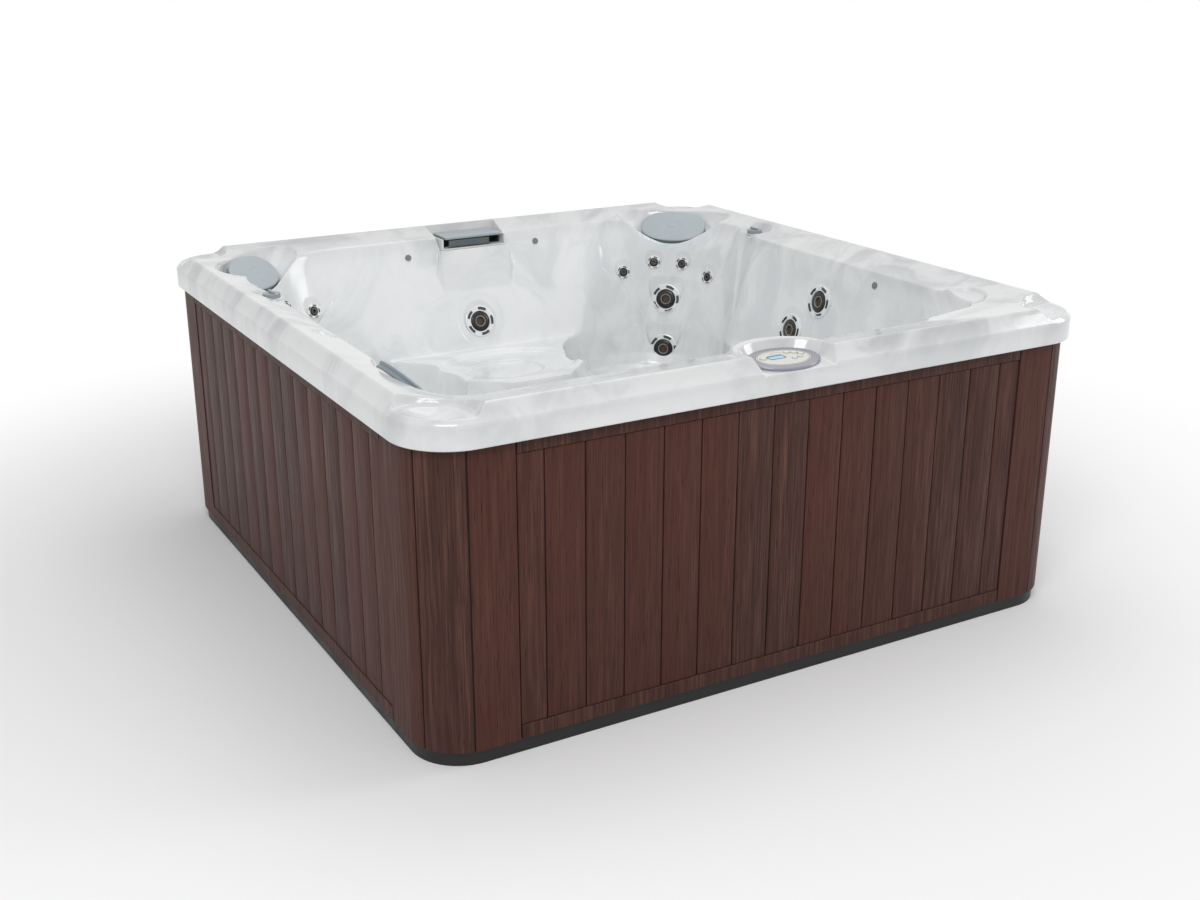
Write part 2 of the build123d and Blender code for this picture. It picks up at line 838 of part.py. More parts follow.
def jet_face(plane, face, bore):
    """A turning jet face: a domed ring with slots, a nozzle and a stem in the body's bore."""
    back = plane.offset(2 * clearance + jet_rim_thick)
    with BuildPart(mode=Mode.PRIVATE) as jet:
        with BuildSketch(back):
            Circle(face / 2)
        extrude(amount=jet_face_thick)
        fillet(jet.faces().sort_by(lambda f: (f.center() - back.origin).dot(back.z_dir))[-1].edges(),
               jet_face_thick * 0.6)
        with BuildSketch(back.offset(jet_face_thick)):
            Circle(face * 0.29)
        extrude(amount=-jet_face_thick * 0.45, mode=Mode.SUBTRACT)
        with BuildSketch(back.offset(jet_face_thick)):
            with PolarLocations(face * 0.395, jet_notches, start_angle=90):
                SlotOverall(face * 0.25, face * 0.1, rotation=90)
        extrude(amount=-jet_face_thick * 0.5, mode=Mode.SUBTRACT)
        with BuildSketch(back):
            Circle(bore / 2 - running_fit)
        extrude(amount=-jet_stem_length)
        with BuildSketch(back.offset(jet_face_thick * 0.5)):
            Circle(face * 0.16)
        extrude(amount=jet_face_thick * 0.35)
        with BuildSketch(back.offset(jet_face_thick)):
            Circle(face * 0.1)
        extrude(amount=-jet_face_thick - jet_stem_length - 1, mode=Mode.SUBTRACT)
    return jet


for name, plane in large_jets.items():
    save(jet_face(plane, large_face, large_bore), "jet_face_" + name)
for name, plane in small_jets.items():
    save(jet_face(plane, small_face, small_bore), "jet_face_" + name)

# Pillows: crowned oval cushions with drawn-in sides
for name, bed in pillow_planes.items():
    with BuildPart() as pillow:
        with BuildSketch(bed.offset(clearance)):
            Ellipse(pillow_length / 2, pillow_width / 2)
        extrude(amount=pillow_thick)
        ends = pillow.faces().sort_by(lambda f: (f.center() - bed.origin).dot(bed.z_dir))
        fillet(ends[-1].edges(), pillow_thick * 0.42)
        fillet(ends[0].edges(), pillow_thick * 0.2)
        crown = (pillow_length / 2) ** 2 / (2 * pillow_crown)
        with Locations(bed.offset(clearance + pillow_thick - crown).location):
            Sphere(crown, mode=Mode.INTERSECT)
    save(pillow, "pillow_" + name)


# Skimmer: bucket, flange, side cheeks and weir posts in one moulding
recess_y = (skimmer_front + skimmer_back) / 2
flange_low = skimmer_sill + clearance
flange_top = flange_low + skimmer_flange_thick
lid_centre_y = lid_hinge_y + skimmer_wall - skimmer_lid_depth / 2
cheek_x = skimmer_lid_width / 2 + clearance + skimmer_cheek / 2
cheek_depth = lid_hinge_y + 2 * hinge_pin_radius - bucket_front
post_x = weir_width / 2 + clearance + skimmer_cheek / 2
with BuildPart() as skimmer_housing:
    with BuildSketch(Plane.XY.offset(skimmer_bottom)):
        with Locations((skimmer_x, bucket_y)):
            Rectangle(bucket_width, bucket_depth)
    extrude(amount=flange_top - skimmer_bottom)
    with BuildSketch(Plane.XY.offset(flange_low)):
        with Locations((skimmer_x, recess_y)):
            Rectangle(skimmer_width - 2, skimmer_back - skimmer_front - 2)
    extrude(amount=skimmer_flange_thick)
    with BuildSketch(Plane.XY.offset(flange_low)):
        with Locations((skimmer_x - cheek_x, bucket_front + cheek_depth / 2),
                       (skimmer_x + cheek_x, bucket_front + cheek_depth / 2)):
            Rectangle(skimmer_cheek, cheek_depth)
    extrude(amount=skimmer_lid_level + 2 * hinge_pin_radius - flange_low)
    with BuildSketch(Plane.XY.offset(flange_low)):
        with Locations((weir_x - post_x, weir_y), (weir_x + post_x, weir_y)):
            Rectangle(skimmer_cheek, 4 * weir_pin_radius)
    extrude(amount=weir_level + 2 * weir_pin_radius - flange_low)
    with BuildSketch(Plane.XY.offset(skimmer_bottom + skimmer_wall)):
        with Locations((skimmer_x, bucket_y)):
            Rectangle(bucket_width - 2 * skimmer_wall, bucket_depth - 2 * skimmer_wall)
    extrude(amount=flange_top - skimmer_bottom, mode=Mode.SUBTRACT)
    with BuildSketch(Plane.XY.offset(skimmer_bottom)):
        with Locations((bucket_drain_x, filter_pipe_y)):
            Circle(bucket_drain_radius)
    extrude(amount=-bucket_drain_length)
    with BuildSketch(Plane.XY.offset(skimmer_bottom - bucket_drain_length)):
        with Locations((bucket_drain_x, filter_pipe_y)):
            Circle(bucket_drain_radius - pipe_wall)
    extrude(amount=bucket_drain_length + 2 * skimmer_wall, mode=Mode.SUBTRACT)
    with BuildSketch(Plane.YZ.offset(skimmer_x)):
        with Locations((lid_hinge_y, skimmer_lid_level)):
            Circle(hinge_pin_radius + running_fit)
    extrude(amount=skimmer_width, both=True, mode=Mode.SUBTRACT)
    with BuildSketch(Plane.YZ.offset(weir_x)):
        with Locations((weir_y, weir_level)):
            Circle(weir_pin_radius + running_fit)
    extrude(amount=post_x + skimmer_cheek, both=True, mode=Mode.SUBTRACT)
save(skimmer_housing, "skimmer_housing")

with BuildPart() as skimmer_lid:
    with BuildSketch(Plane.XY.offset(skimmer_lid_level - skimmer_lid_thick / 2)):
        with Locations((skimmer_x, lid_centre_y)):
            RectangleRounded(skimmer_lid_width, skimmer_lid_depth, skimmer_wall)
    extrude(amount=skimmer_lid_thick)
    fillet(skimmer_lid.faces().sort_by(Axis.Z)[-1].edges(), skimmer_lid_thick / 4)
    with BuildSketch(Plane.YZ.offset(skimmer_x)):
        with Locations((lid_hinge_y, skimmer_lid_level)):
            Circle(hinge_pin_radius)
    extrude(amount=cheek_x + skimmer_cheek / 2, both=True)
save(skimmer_lid, "skimmer_lid")

with BuildPart() as weir_flap:
    with BuildSketch(Plane.XZ.offset(-weir_y)):
        with Locations((weir_x, weir_level + (weir_height - weir_thick) / 2)):
            Rectangle(weir_width, weir_height)
    extrude(amount=weir_thick / 2, both=True)
    fillet(weir_flap.edges().filter_by(Axis.X), weir_thick / 2.2)
    with BuildSketch(Plane.YZ.offset(weir_x)):
        with Locations((weir_y, weir_level)):
            Circle(weir_pin_radius)
    extrude(amount=post_x + skimmer_cheek / 2, both=True)
save(weir_flap, "weir_flap")

# Two pleated filter cartridges stand in the bucket
with BuildPart() as filter_cartridges:
    places = [(skimmer_x + sign * filter_spacing / 2, bucket_y) for sign in (-1, 1)]
    filter_low = skimmer_bottom + skimmer_wall + clearance
    with BuildSketch(Plane.XY.offset(filter_low)):
        with Locations(places):
            Circle(filter_radius)
    extrude(amount=filter_length)
    with BuildSketch(Plane.XY.offset(filter_low + skimmer_flange_thick * 2)):
        with Locations(places):
            with PolarLocations(filter_radius, filter_pleats):
                Circle(skimmer_wall * 0.6)
    extrude(amount=filter_length - skimmer_flange_thick * 4, mode=Mode.SUBTRACT)
    with BuildSketch(Plane.XY.offset(filter_low)):
        with Locations(places):
            Circle(filter_radius / 2)
    extrude(amount=filter_length, mode=Mode.SUBTRACT)
save(filter_cartridges, "filter_cartridges")

# Control panel: bezel, faceplate, display and buttons
bezel_low = -bezel_thick / 2 + clearance
bezel_top = bezel_low + bezel_thick
face_low = bezel_top - faceplate_recess
face_top = face_low + faceplate_thick
with BuildPart() as panel_bezel:
    with BuildSketch(panel_plane.offset(bezel_low)):
        Ellipse(panel_long / 2, panel_short / 2)
    extrude(amount=bezel_thick)
    fillet(panel_bezel.faces().sort_by(Axis.Z)[-1].edges(), bezel_round)
    with BuildSketch(panel_plane.offset(face_low - clearance)):
        Ellipse(faceplate_long / 2 + clearance, faceplate_short / 2 + clearance)
    extrude(amount=bezel_thick, mode=Mode.SUBTRACT)
save(panel_bezel, "panel_bezel")

with BuildPart() as panel_faceplate:
    with BuildSketch(panel_plane.offset(face_low)):
        Ellipse(faceplate_long / 2, faceplate_short / 2)
    extrude(amount=faceplate_thick)
    with BuildSketch(panel_plane.offset(face_top)):
        with Locations((lcd_x, lcd_y)):
            Rectangle(lcd_long, lcd_short)
    extrude(amount=-lcd_thick, mode=Mode.SUBTRACT)
    for x, y, long, short in button_places.values():
        with BuildSketch(panel_plane.offset(face_top)):
            with Locations((x, y)):
                Ellipse(long + button_gap, short + button_gap)
        extrude(amount=-button_well, mode=Mode.SUBTRACT)
save(panel_faceplate, "panel_faceplate")

with BuildPart() as lcd_window:
    with BuildSketch(panel_plane.offset(face_top - lcd_thick + clearance)):
        with Locations((lcd_x, lcd_y)):
            Rectangle(lcd_long - 2 * clearance, lcd_short - 2 * clearance)
    extrude(amount=lcd_thick - clearance)
save(lcd_window, "lcd_window")

for name, (x, y, long, short) in button_places.items():
    with BuildPart() as button:
        with BuildSketch(panel_plane.offset(face_top - button_well + button_travel + clearance)):
            with Locations((x, y)):
                Ellipse(long, short)
        extrude(amount=button_height)
        fillet(button.faces().sort_by(Axis.Z)[-1].edges(), button_height / 4)
    save(button, name)

# Air valves in the side rims, each with a turning knob
with BuildPart() as air_valve_bodies:
    for plane in valve_planes:
        with BuildSketch(plane.offset(clearance)):
            Circle(knob_base_radius)
        extrude(amount=knob_base_thick)
        with BuildSketch(plane.offset(clearance)):
            Circle(valve_radius)
        extrude(amount=-valve_depth)
        with BuildSketch(plane.offset(clearance + knob_base_thick)):
            Circle(knob_shaft_radius + running_fit)
        extrude(amount=-knob_shaft_length - 2, mode=Mode.SUBTRACT)
save(air_valve_bodies, "air_valve_bodies")

for name, plane in zip(("right", "left"), valve_planes):
    seat = plane.offset(2 * clearance + knob_base_thick)
    with BuildPart() as knob:
        with BuildSketch(seat):
            Circle(knob_radius)
        extrude(amount=knob_height - knob_lever_height)
        fillet(knob.faces().sort_by(Axis.Z)[-1].edges(), knob_base_thick)
        with BuildSketch(seat.offset(knob_height - knob_lever_height)):
            SlotOverall(knob_lever_length, knob_lever_width)
        extrude(amount=knob_lever_height)
        fillet(knob.faces().sort_by(Axis.Z)[-1].edges(), knob_base_thick / 2)
        with BuildSketch(seat):
            Circle(knob_shaft_radius)
        extrude(amount=-knob_shaft_length)
    save(knob, "air_knob_" + name)

# Small lights above the water line
with BuildPart() as waterline_lights:
    for plane in light_planes:
        with BuildSketch(plane.offset(clearance)):
            Circle(light_radius)
        extrude(amount=jet_rim_thick)
        with BuildSketch(plane.offset(clearance)):
            Circle(light_barrel)
        extrude(amount=-light_barrel_length)
save(waterline_lights, "waterline_lights")

# Suction covers in the footwell, each on a spigot through the shell
with BuildPart() as suction_covers:
    for plane, pipe in zip(suction_planes, suction_pipes):
        with BuildSketch(plane.offset(clearance)):
            Circle(suction_radius)
        extrude(amount=suction_thick)
        with BuildSketch(plane.offset(clearance + suction_thick)):
            with PolarLocations(suction_radius * 0.62, suction_slots):
                SlotOverall(suction_radius * 0.5, suction_radius * 0.09)
        extrude(amount=-suction_thick * 0.7, mode=Mode.SUBTRACT)
        with BuildSketch(pipe.offset(suction_thick / 2)):
            Circle(pipe_radius)
        extrude(amount=-suction_spigot - suction_thick / 2)
        with BuildSketch(pipe):
            Circle(pipe_radius - pipe_wall)
        extrude(amount=-suction_spigot - 1, mode=Mode.SUBTRACT)
save(suction_covers, "suction_covers")

# Lens of the footwell light
with BuildPart() as light_lens:
    with BuildSketch(lens_plane.offset(clearance)):
        Circle(lens_radius)
    extrude(amount=lens_thick)
    fillet(light_lens.faces().sort_by(Axis.X)[-1].edges(), lens_thick * 0.6)
    with BuildSketch(lens_plane.offset(clearance)):
        Circle(lens_barrel)
    extrude(amount=-suction_spigot)
save(light_lens, "light_lens")

# Pump: a wet end with its impeller, and a motor on feet
pump_z = suction_level
floor_seat = pan_floor + clearance
wet_west = pump_x - volute_width / 2
wet_east = pump_x + volute_width / 2
outlet_y = pump_y - outlet_drop
with BuildPart() as pump_housing:
    with BuildSketch(Plane.YZ.offset(wet_west)):
        with Locations((pump_y, pump_z)):
            Circle(volute_radius)
        with Locations((pump_y, (floor_seat + pump_z) / 2)):
            Rectangle(foot_width, pump_z - floor_seat)
    extrude(amount=volute_width)
    with BuildSketch(Plane.XY.offset(pump_z)):
        with Locations((pump_x, outlet_y)):
            Circle(pipe_radius)
    extrude(amount=outlet_top - pump_z)
    with BuildSketch(Plane.YZ.offset(wet_east)):
        with Locations((pump_y, pump_z)):
            Circle(pipe_radius)
    extrude(amount=suction_spigot)
    with BuildSketch(Plane.YZ.offset(wet_west + volute_wall)):
        with Locations((pump_y, pump_z)):
            Circle(volute_radius - volute_wall)
    extrude(amount=volute_width - 2 * volute_wall, mode=Mode.SUBTRACT)
    with BuildSketch(Plane.XY.offset(pump_z)):
        with Locations((pump_x, outlet_y)):
            Circle(pipe_radius - pipe_wall)
    extrude(amount=outlet_top - pump_z, mode=Mode.SUBTRACT)
    with BuildSketch(Plane.YZ.offset(pump_x)):
        with Locations((pump_y, pump_z)):
            Circle(pipe_radius - pipe_wall)
    extrude(amount=volute_width, mode=Mode.SUBTRACT)
    with BuildSketch(Plane.YZ.offset(pump_x)):
        with Locations((pump_y, pump_z)):
            Circle(shaft_radius + running_fit)
    extrude(amount=-volute_width, mode=Mode.SUBTRACT)
save(pump_housing, "pump_housing")

with BuildPart() as pump_impeller:
    with BuildSketch(Plane.YZ.offset(pump_x - impeller_width / 2)):
        with Locations((pump_y, pump_z)):
            Circle(impeller_radius)
    extrude(amount=volute_wall)
    with BuildSketch(Plane.YZ.offset(pump_x - impeller_width / 2)):
        with Locations((pump_y, pump_z)):
            Circle(shaft_radius * 2)
            with PolarLocations(impeller_radius * 0.6, impeller_vanes):
                Rectangle(impeller_radius * 0.72, volute_wall / 2, rotation=30)
    extrude(amount=impeller_width)
    with BuildSketch(Plane.YZ.offset(pump_x)):
        with Locations((pump_y, pump_z)):
            Circle(shaft_radius)
    extrude(amount=-volute_width / 2 - motor_bore_length)
save(pump_impeller, "pump_impeller")

motor_east = wet_west - clearance
with BuildPart() as pump_motor:
    with BuildSketch(Plane.YZ.offset(motor_east)):
        with Locations((pump_y, pump_z)):
            Circle(motor_radius)
    extrude(amount=-motor_length)
    with BuildSketch(Plane.YZ.offset(motor_east - volute_wall * 3)):
        with Locations((pump_y, pump_z)):
            with PolarLocations(motor_radius, motor_fins):
                Rectangle(volute_wall, volute_wall / 2)
    extrude(amount=-motor_length + volute_wall * 6, mode=Mode.SUBTRACT)
    for x in (motor_east - motor_length * 0.2, motor_east - motor_length * 0.8):
        with BuildSketch(Plane.YZ.offset(x)):
            with Locations((pump_y, (floor_seat + pump_z) / 2)):
                Rectangle(foot_width, pump_z - floor_seat)
            with Locations((pump_y, pump_z)):
                Circle(motor_radius - volute_wall, mode=Mode.SUBTRACT)
        extrude(amount=volute_wall * 2, both=True)
    with BuildSketch(Plane.YZ.offset(motor_east)):
        with Locations((pump_y, pump_z)):
            Circle(shaft_radius + running_fit)
    extrude(amount=-motor_bore_length - volute_wall, mode=Mode.SUBTRACT)
save(pump_motor, "pump_motor")

# Heater tube with two end unions
with BuildPart() as heater:
    with BuildSketch(Plane.YZ.offset(heater_start)):
        with Locations((outlet_y, pressure_level)):
            Circle(heater_radius)
    extrude(amount=heater_end - heater_start)
    for x in (heater_start, heater_end - 3 * volute_wall):
        with BuildSketch(Plane.YZ.offset(x)):
            with Locations((outlet_y, pressure_level)):
                Circle(heater_radius + volute_wall)
        extrude(amount=3 * volute_wall)
    with BuildSketch(Plane.YZ.offset(heater_start)):
        with Locations((outlet_y, pressure_level)):
            Circle(pipe_radius - pipe_wall)
    extrude(amount=heater_end - heater_start, mode=Mode.SUBTRACT)
save(heater, "heater")

# Control box against the front frame, with its cover
box_x = box_west + box_length / 2
box_y = -(pan_half - kerb_width - clearance - box_depth / 2)
with BuildPart() as control_box:
    with BuildSketch(Plane.XY.offset(floor_seat)):
        with Locations((box_x, box_y)):
            Rectangle(box_length, box_depth)
    extrude(amount=box_height - box_cover)
    with BuildSketch(Plane.XY.offset(floor_seat + box_wall)):
        with Locations((box_x, box_y)):
            Rectangle(box_length - 2 * box_wall, box_depth - 2 * box_wall)
    extrude(amount=box_height, mode=Mode.SUBTRACT)
    with BuildSketch(Plane.XY.offset(floor_seat + box_height - box_cover + clearance)):
        with Locations((box_x, box_y)):
            Rectangle(box_length, box_depth)
    extrude(amount=box_cover)
save(control_box, "control_box")


def route(points, bend):
    """A path through points, with its corners rounded."""
    with BuildLine(mode=Mode.PRIVATE) as path:
        if len(points) > 2:
            FilletPolyline(*points, radius=bend)
        else:
            Line(*points)
    return path.wire()


def tube(points, radius, bend):
    """A round bar along a path."""
    path = route(points, bend)
    with BuildPart(mode=Mode.PRIVATE) as bar:
        with BuildSketch(Plane(origin=points[0], z_dir=path % 0)):
            Circle(radius)
        sweep(path=path)
    return bar.part


# Rigid pipes: the suction side, and the pressure side with a manifold under each back corner
stub_y = suction_pipes[0].origin.Y - suction_spigot - clearance
branch_y = pump_y + branch_gap
pump_inlet = wet_east + suction_spigot + clearance
drain_level = skimmer_bottom - bucket_drain_length - clearance
inlet_run = [(suction_x[0], stub_y, pump_z), (suction_x[0], pump_y, pump_z),
             (pump_inlet, pump_y, pump_z)]
filter_run = [(bucket_drain_x, filter_pipe_y, drain_level),
              (bucket_drain_x, filter_pipe_y, pump_z), (filter_pipe_x, filter_pipe_y, pump_z),
              (filter_pipe_x, branch_y, pump_z), (suction_x[0], branch_y, pump_z)]
second_run = [(suction_x[1], stub_y, pump_z), (suction_x[1], branch_y, pump_z)]
outlet_run = [(pump_x, outlet_y, outlet_top + clearance), (pump_x, outlet_y, pressure_level),
              (heater_start - clearance, outlet_y, pressure_level)]
main_run = [(heater_end + clearance, outlet_y, pressure_level),
            (main_half - 1.4 * pipe_bend, outlet_y, pressure_level),
            (main_half, outlet_y + 1.4 * pipe_bend, main_level), (main_half, main_half, main_level),
            (-main_half, main_half, main_level), (-main_half, main_end, main_level)]
manifolds = [(-manifold_place, manifold_place), (manifold_place, manifold_place)]
with BuildPart() as plumbing:
    add(tube(inlet_run, pipe_radius, pipe_bend))
    add(tube(filter_run, branch_radius, pipe_bend))
    add(tube(second_run, branch_radius - pipe_wall, pipe_bend))
    add(tube(outlet_run, pipe_radius, pressure_bend))
    add(tube(main_run, pipe_radius, pressure_bend))
    with BuildSketch(Plane.XY.offset(manifold_bottom)):
        with Locations(manifolds):
            Circle(manifold_radius)
    extrude(amount=manifold_top - manifold_bottom)
    add(tube(inlet_run, pipe_radius - pipe_wall, pipe_bend), mode=Mode.SUBTRACT)
    add(tube(outlet_run, pipe_radius - pipe_wall, pressure_bend), mode=Mode.SUBTRACT)
save(plumbing, "plumbing")


def hose_run(plane, depth, back, level, target):
    """Points of a hose: out of a jet, down behind it, and across to its manifold or main."""
    tail = plane.origin - plane.z_dir * (depth + jet_barb_length + clearance)
    drop = tail - plane.z_dir * back
    foot = Vector(drop.X, drop.Y, level)
    return [tail, drop, foot, target(foot)]


def manifold_port(foot):
    """Where a hose meets the manifold of its corner."""
    side = 1 if foot.X > 0 else -1
    centre = Vector(side * manifold_place, manifold_place, foot.Z)
    return centre + (foot - centre).normalized() * (manifold_radius + clearance)


def main_port(foot):
    """Where a hose meets the nearest run of the main pipe."""
    reach = main_half + pipe_radius + clearance
    if abs(foot.X) > abs(foot.Y):
        return Vector(reach if foot.X > 0 else -reach, foot.Y, foot.Z)
    return Vector(foot.X, reach, foot.Z)


hose_runs = []
for name, plane in large_jets.items():
    in_pod = name[:2] in ("bl", "br")
    back = hose_back_long if in_pod and "upper" in name else hose_back_short
    level = hose_levels[name[3:]] if in_pod else main_level
    port = manifold_port if in_pod else main_port
    hose_runs.append(hose_run(plane, large_depth, back, level, port))
for name, plane in small_jets.items():
    in_pod = name[:2] in ("bl", "br")
    level = hose_levels["small"] if in_pod else main_level
    port = manifold_port if in_pod else main_port
    hose_runs.append(hose_run(plane, small_depth, hose_back_short, level, port))
with BuildPart() as jet_hoses:
    for run in hose_runs:
        add(tube(run, hose_radius, hose_bend))
    for run in hose_runs:
        add(tube(run, hose_radius - hose_wall, hose_bend), mode=Mode.SUBTRACT)
save(jet_hoses, "jet_hoses")
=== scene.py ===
import bpy
import json
import math
import numpy as np
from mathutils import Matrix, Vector


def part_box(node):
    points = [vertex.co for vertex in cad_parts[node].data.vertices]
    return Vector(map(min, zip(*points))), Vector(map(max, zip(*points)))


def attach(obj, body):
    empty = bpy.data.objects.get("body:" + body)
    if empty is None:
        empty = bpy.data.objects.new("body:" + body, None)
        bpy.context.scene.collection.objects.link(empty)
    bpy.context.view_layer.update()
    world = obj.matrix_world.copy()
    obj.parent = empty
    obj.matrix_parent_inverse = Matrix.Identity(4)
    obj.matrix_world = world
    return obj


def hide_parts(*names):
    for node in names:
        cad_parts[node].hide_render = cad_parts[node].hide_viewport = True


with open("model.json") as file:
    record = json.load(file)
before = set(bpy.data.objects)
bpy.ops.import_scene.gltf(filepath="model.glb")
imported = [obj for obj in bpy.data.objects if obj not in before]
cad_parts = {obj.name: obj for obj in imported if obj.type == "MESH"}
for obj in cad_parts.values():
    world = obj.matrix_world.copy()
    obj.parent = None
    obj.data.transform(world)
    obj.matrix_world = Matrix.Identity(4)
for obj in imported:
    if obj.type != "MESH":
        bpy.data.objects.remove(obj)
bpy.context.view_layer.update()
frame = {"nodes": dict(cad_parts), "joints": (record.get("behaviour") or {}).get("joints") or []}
nodes = frame["nodes"]
MM = 0.001

# Camera, in millimetres
CAMERA_PLACE = (-2236.8, -3923.9, 1933.3)
CAMERA_LOOK = (0.4713, 0.8174, -0.3314)
CAMERA_LENS = 43.9

# Lip and rim of the moulded shell
LIP_HALF, LIP_CORNER = 1065.0, 160.0
LIP_EDGE = 890.0
BEVEL_RUN = 36.0
CREST_HALF, CREST_CORNER, CREST_Z = 1026.0, 120.0, 931.0
DECK = dict(west=-912, east=885, south=-868, north=935, pod=420, lounge=110, cut=285)
DECK_Z = 897.0
BENCH = dict(west=-800, east=800, south=-760, north=800, pod=330, lounge=90, cut=250)
BENCH_Z = 505.0
LIP_RETURN = ((8, 846), (8, 833), (6.5, 831), (2, 831), (0.4, 832.4), (0, 835), (0, 850), (0, 868),
              (0, 882))

RIM_SOFT, WALL_SOFT, BENCH_SOFT, CUT_SOFT = 9.0, 26.0, 40.0, 22.0

# Terraces in the back wall: centre level, then each step's radius, softness and rise
TERRACE_SOUTH, TERRACE_Z = 600.0, 600.0
TERRACE_STEPS = ((92.0, 4.0, 1.6), (236.0, 4.0, 1.6), (300.0, 30.0, -3.2))

# Seats, lounge and footwell
POD_AXIS, POD_SOFT = 527.0, 18.0
POD_RADII = (0, 215, 250, 275, 292, 305, 343, 378, 404, 450)
POD_LEVELS = (330, 330, 336, 358, 400, 500, 690, 820, 915, 1090)
BOLSTER, BOLSTER_SOFT, BOLSTER_FOOT, BOLSTER_FADE = 8.5, (3.0, 4.0), 390.0, 50.0
BOLSTER_OUTER = ((400, 480, 575, 687, 805, 907), (66, 70, 69, 62, 54, 50))
BOLSTER_INNER = ((393, 530, 640, 705, 851, 907), (15, 18, 30, 41, 45, 46))
MOUTH_HALF, MOUTH_LENGTH, MOUTH_RISE, MOUTH_SLOPE = 128.0, 700.0, 12.0, 4.5
LOUNGE_X = (-876, -856, -560, -330, 60, 330, 560, 770, 800)
LOUNGE_Z = (872, 790, 430, 392, 500, 505, 425, 425, 520)
LOUNGE_SOUTH, LOUNGE_NORTH = -752.0, -330.0
LOUNGE_SPAN, LOUNGE_STEP, LOUNGE_BLUR = (-900, 820), 4.0, 38.0
SEAT_BOX = dict(west=300, east=778, south=-250, north=250, corner=90)
SEAT_Z, SEAT_SOFT, SEAT_SLOPE = 430.0, 22.0, 5.0
WELL_HALF, WELL_CORNER, WELL_TOP, WELL_FLOOR = 345.0, 130.0, 517.0, 95.0
WELL_SLOPE, WELL_SOFT, WELL_BRIM = (WELL_TOP - WELL_FLOOR) / 45.0, 45.0, 20.0
BENCH_DISHES = (((-20, 575), (270, 185), 15.0), ((-40, 556), (150, 112), 11.0))
BENCH_DISH_EDGE = 0.05
NO_SEAT = 2000.0

# Hollows in the rim: half sizes, level, rise of the floor, steepness and softness of the sides
BOWL_POWER = 2.4
NOTCH_CENTRE = 975.0
NOTCH = dict(half=(105.0, 75.0), level=903.0, bowl=1.0, steep=2.6, soft=3.0)
DISH = dict(half=(76.0, 46.0), level=889.0, bowl=14.0, steep=1.2, soft=2.0)
BOSS_PLACE, BOSS_HALF, BOSS_Z, BOSS_SLOPE, BOSS_SOFT = (862.0, -742.0), (122.0, 88.0), 910.0, 2.5, 6.0
BOSS_RECESS = dict(half=(96.0, 60.0), level=895.0, bowl=13.0, steep=2.4, soft=4.0)
KNOB_PLACES = ((945.0, 450.0), (-926.0, 350.0))
KNOB_RECESS = dict(half=(54.0, 38.0), level=893.0, bowl=1.0, steep=1.5, soft=4.0)
FINGER_PLACE = (-945.0, -180.0)
FINGER_RECESS = dict(half=(40.0, 27.0), level=892.0, bowl=14.0, steep=1.5, soft=4.0)
RAISED_REACH = 60.0

# Skimmer: its mouth, the ledge below it and the bucket behind
SKIMMER_X, SKIMMER_HALF, SKIMMER_FRONT, SKIMMER_BACK, SKIMMER_Z = 12.0, 127.0, 895.0, 1019.0, 857.0
SKIMMER_SPLAY = 8.0
LEDGE_HALF, LEDGE_FRONT, LEDGE_LIFT = 134.0, 890.0, 1.0
LEDGE_SLOPE, LEDGE_END_SLOPE, LEDGE_SOFT = 7.0, 4.0, 5.0
BUCKET_HALF, BUCKET_FRONT, BUCKET_BACK, BUCKET_TOP = 116.0, 938.0, 1011.0, 880.0

# Control panel
PANEL_PLACE = (8.0, -985.0, 896.0)
PANEL_TILT = math.radians(5)
PANEL_HALF = (107.0, 75.0)
PANEL_MARGIN, PANEL_SPLAY = 6.0, 2.2
PANEL_SOFT = 3.0
SHROUD_MARGIN, SHROUD_BACK, SHROUD_Z = 30.0, 12.0, 925.0
SHROUD_SLOPE, SHROUD_FRONT_SLOPE, SHROUD_SOFT = 3.2, 4.0, 9.0
FACE_TOP = 4.8

# Pillows and their beds
PILLOW_HALF, PILLOW_MARGIN, PILLOW_FILL = (128.0, 73.0), 5.0, 0.9
PILLOW_TILT, PILLOW_REACH, PILLOW_Z = math.radians(39), 1190.0, 852.6
LOUNGE_PILLOW = (-905.0, -620.0, 856.0)
LOUNGE_PILLOW_TILT = math.radians(48)
BED_REACH, BED_FILL, BED_CUT = 190.0, 5.0, 1.5

# Jets
POCKET_DEPTH, POCKET_MARGIN, POCKET_REACH, POCKET_SPLAY, POCKET_SOFT = 4.0, 3.0, 20.0, 1.3, 3.0
LARGE_JET, SMALL_JET, LARGE_JET_BOX = 58.0, 26.0, 0.12

# Cabinet
CABINET_HALF, CABINET_CORNER = 1046.4, 145.0
BOARD_BOTTOM, BOARD_TOP, BOARD_THICK = 39.5, 840.0, 14.0
FIELD_BOTTOM, FIELD_TOP, FIELD_DEPTH = 80.0, 795.0, 2.5
PANEL_LENGTH = 800.4
GROOVE_PITCH, GROOVE_WIDTH, GROOVE_DEPTH, GROOVE_COUNT = 112.0, 4.0, 5.0, 14
FIELD_THICK, RAIL_GAP, BACK_INSET, EDGE_SOFT = BOARD_THICK - 3, 1.5, 2.0, 1.2
MIDDLE_SEED, END_SEED, SEED_STEP = 3, 11, 17
RAIL_TONE, POST_TONES = 0.35, (0.75, 0.3, 0.95)
GROOVE_EDGE = ((0.25, 0.0), (0.0, 0.8), (-0.1, GROOVE_DEPTH))
SHARP_EDGE = math.radians(32)
POST_LEG = 242.0
POST_GROOVES = (27.0, 79.0)

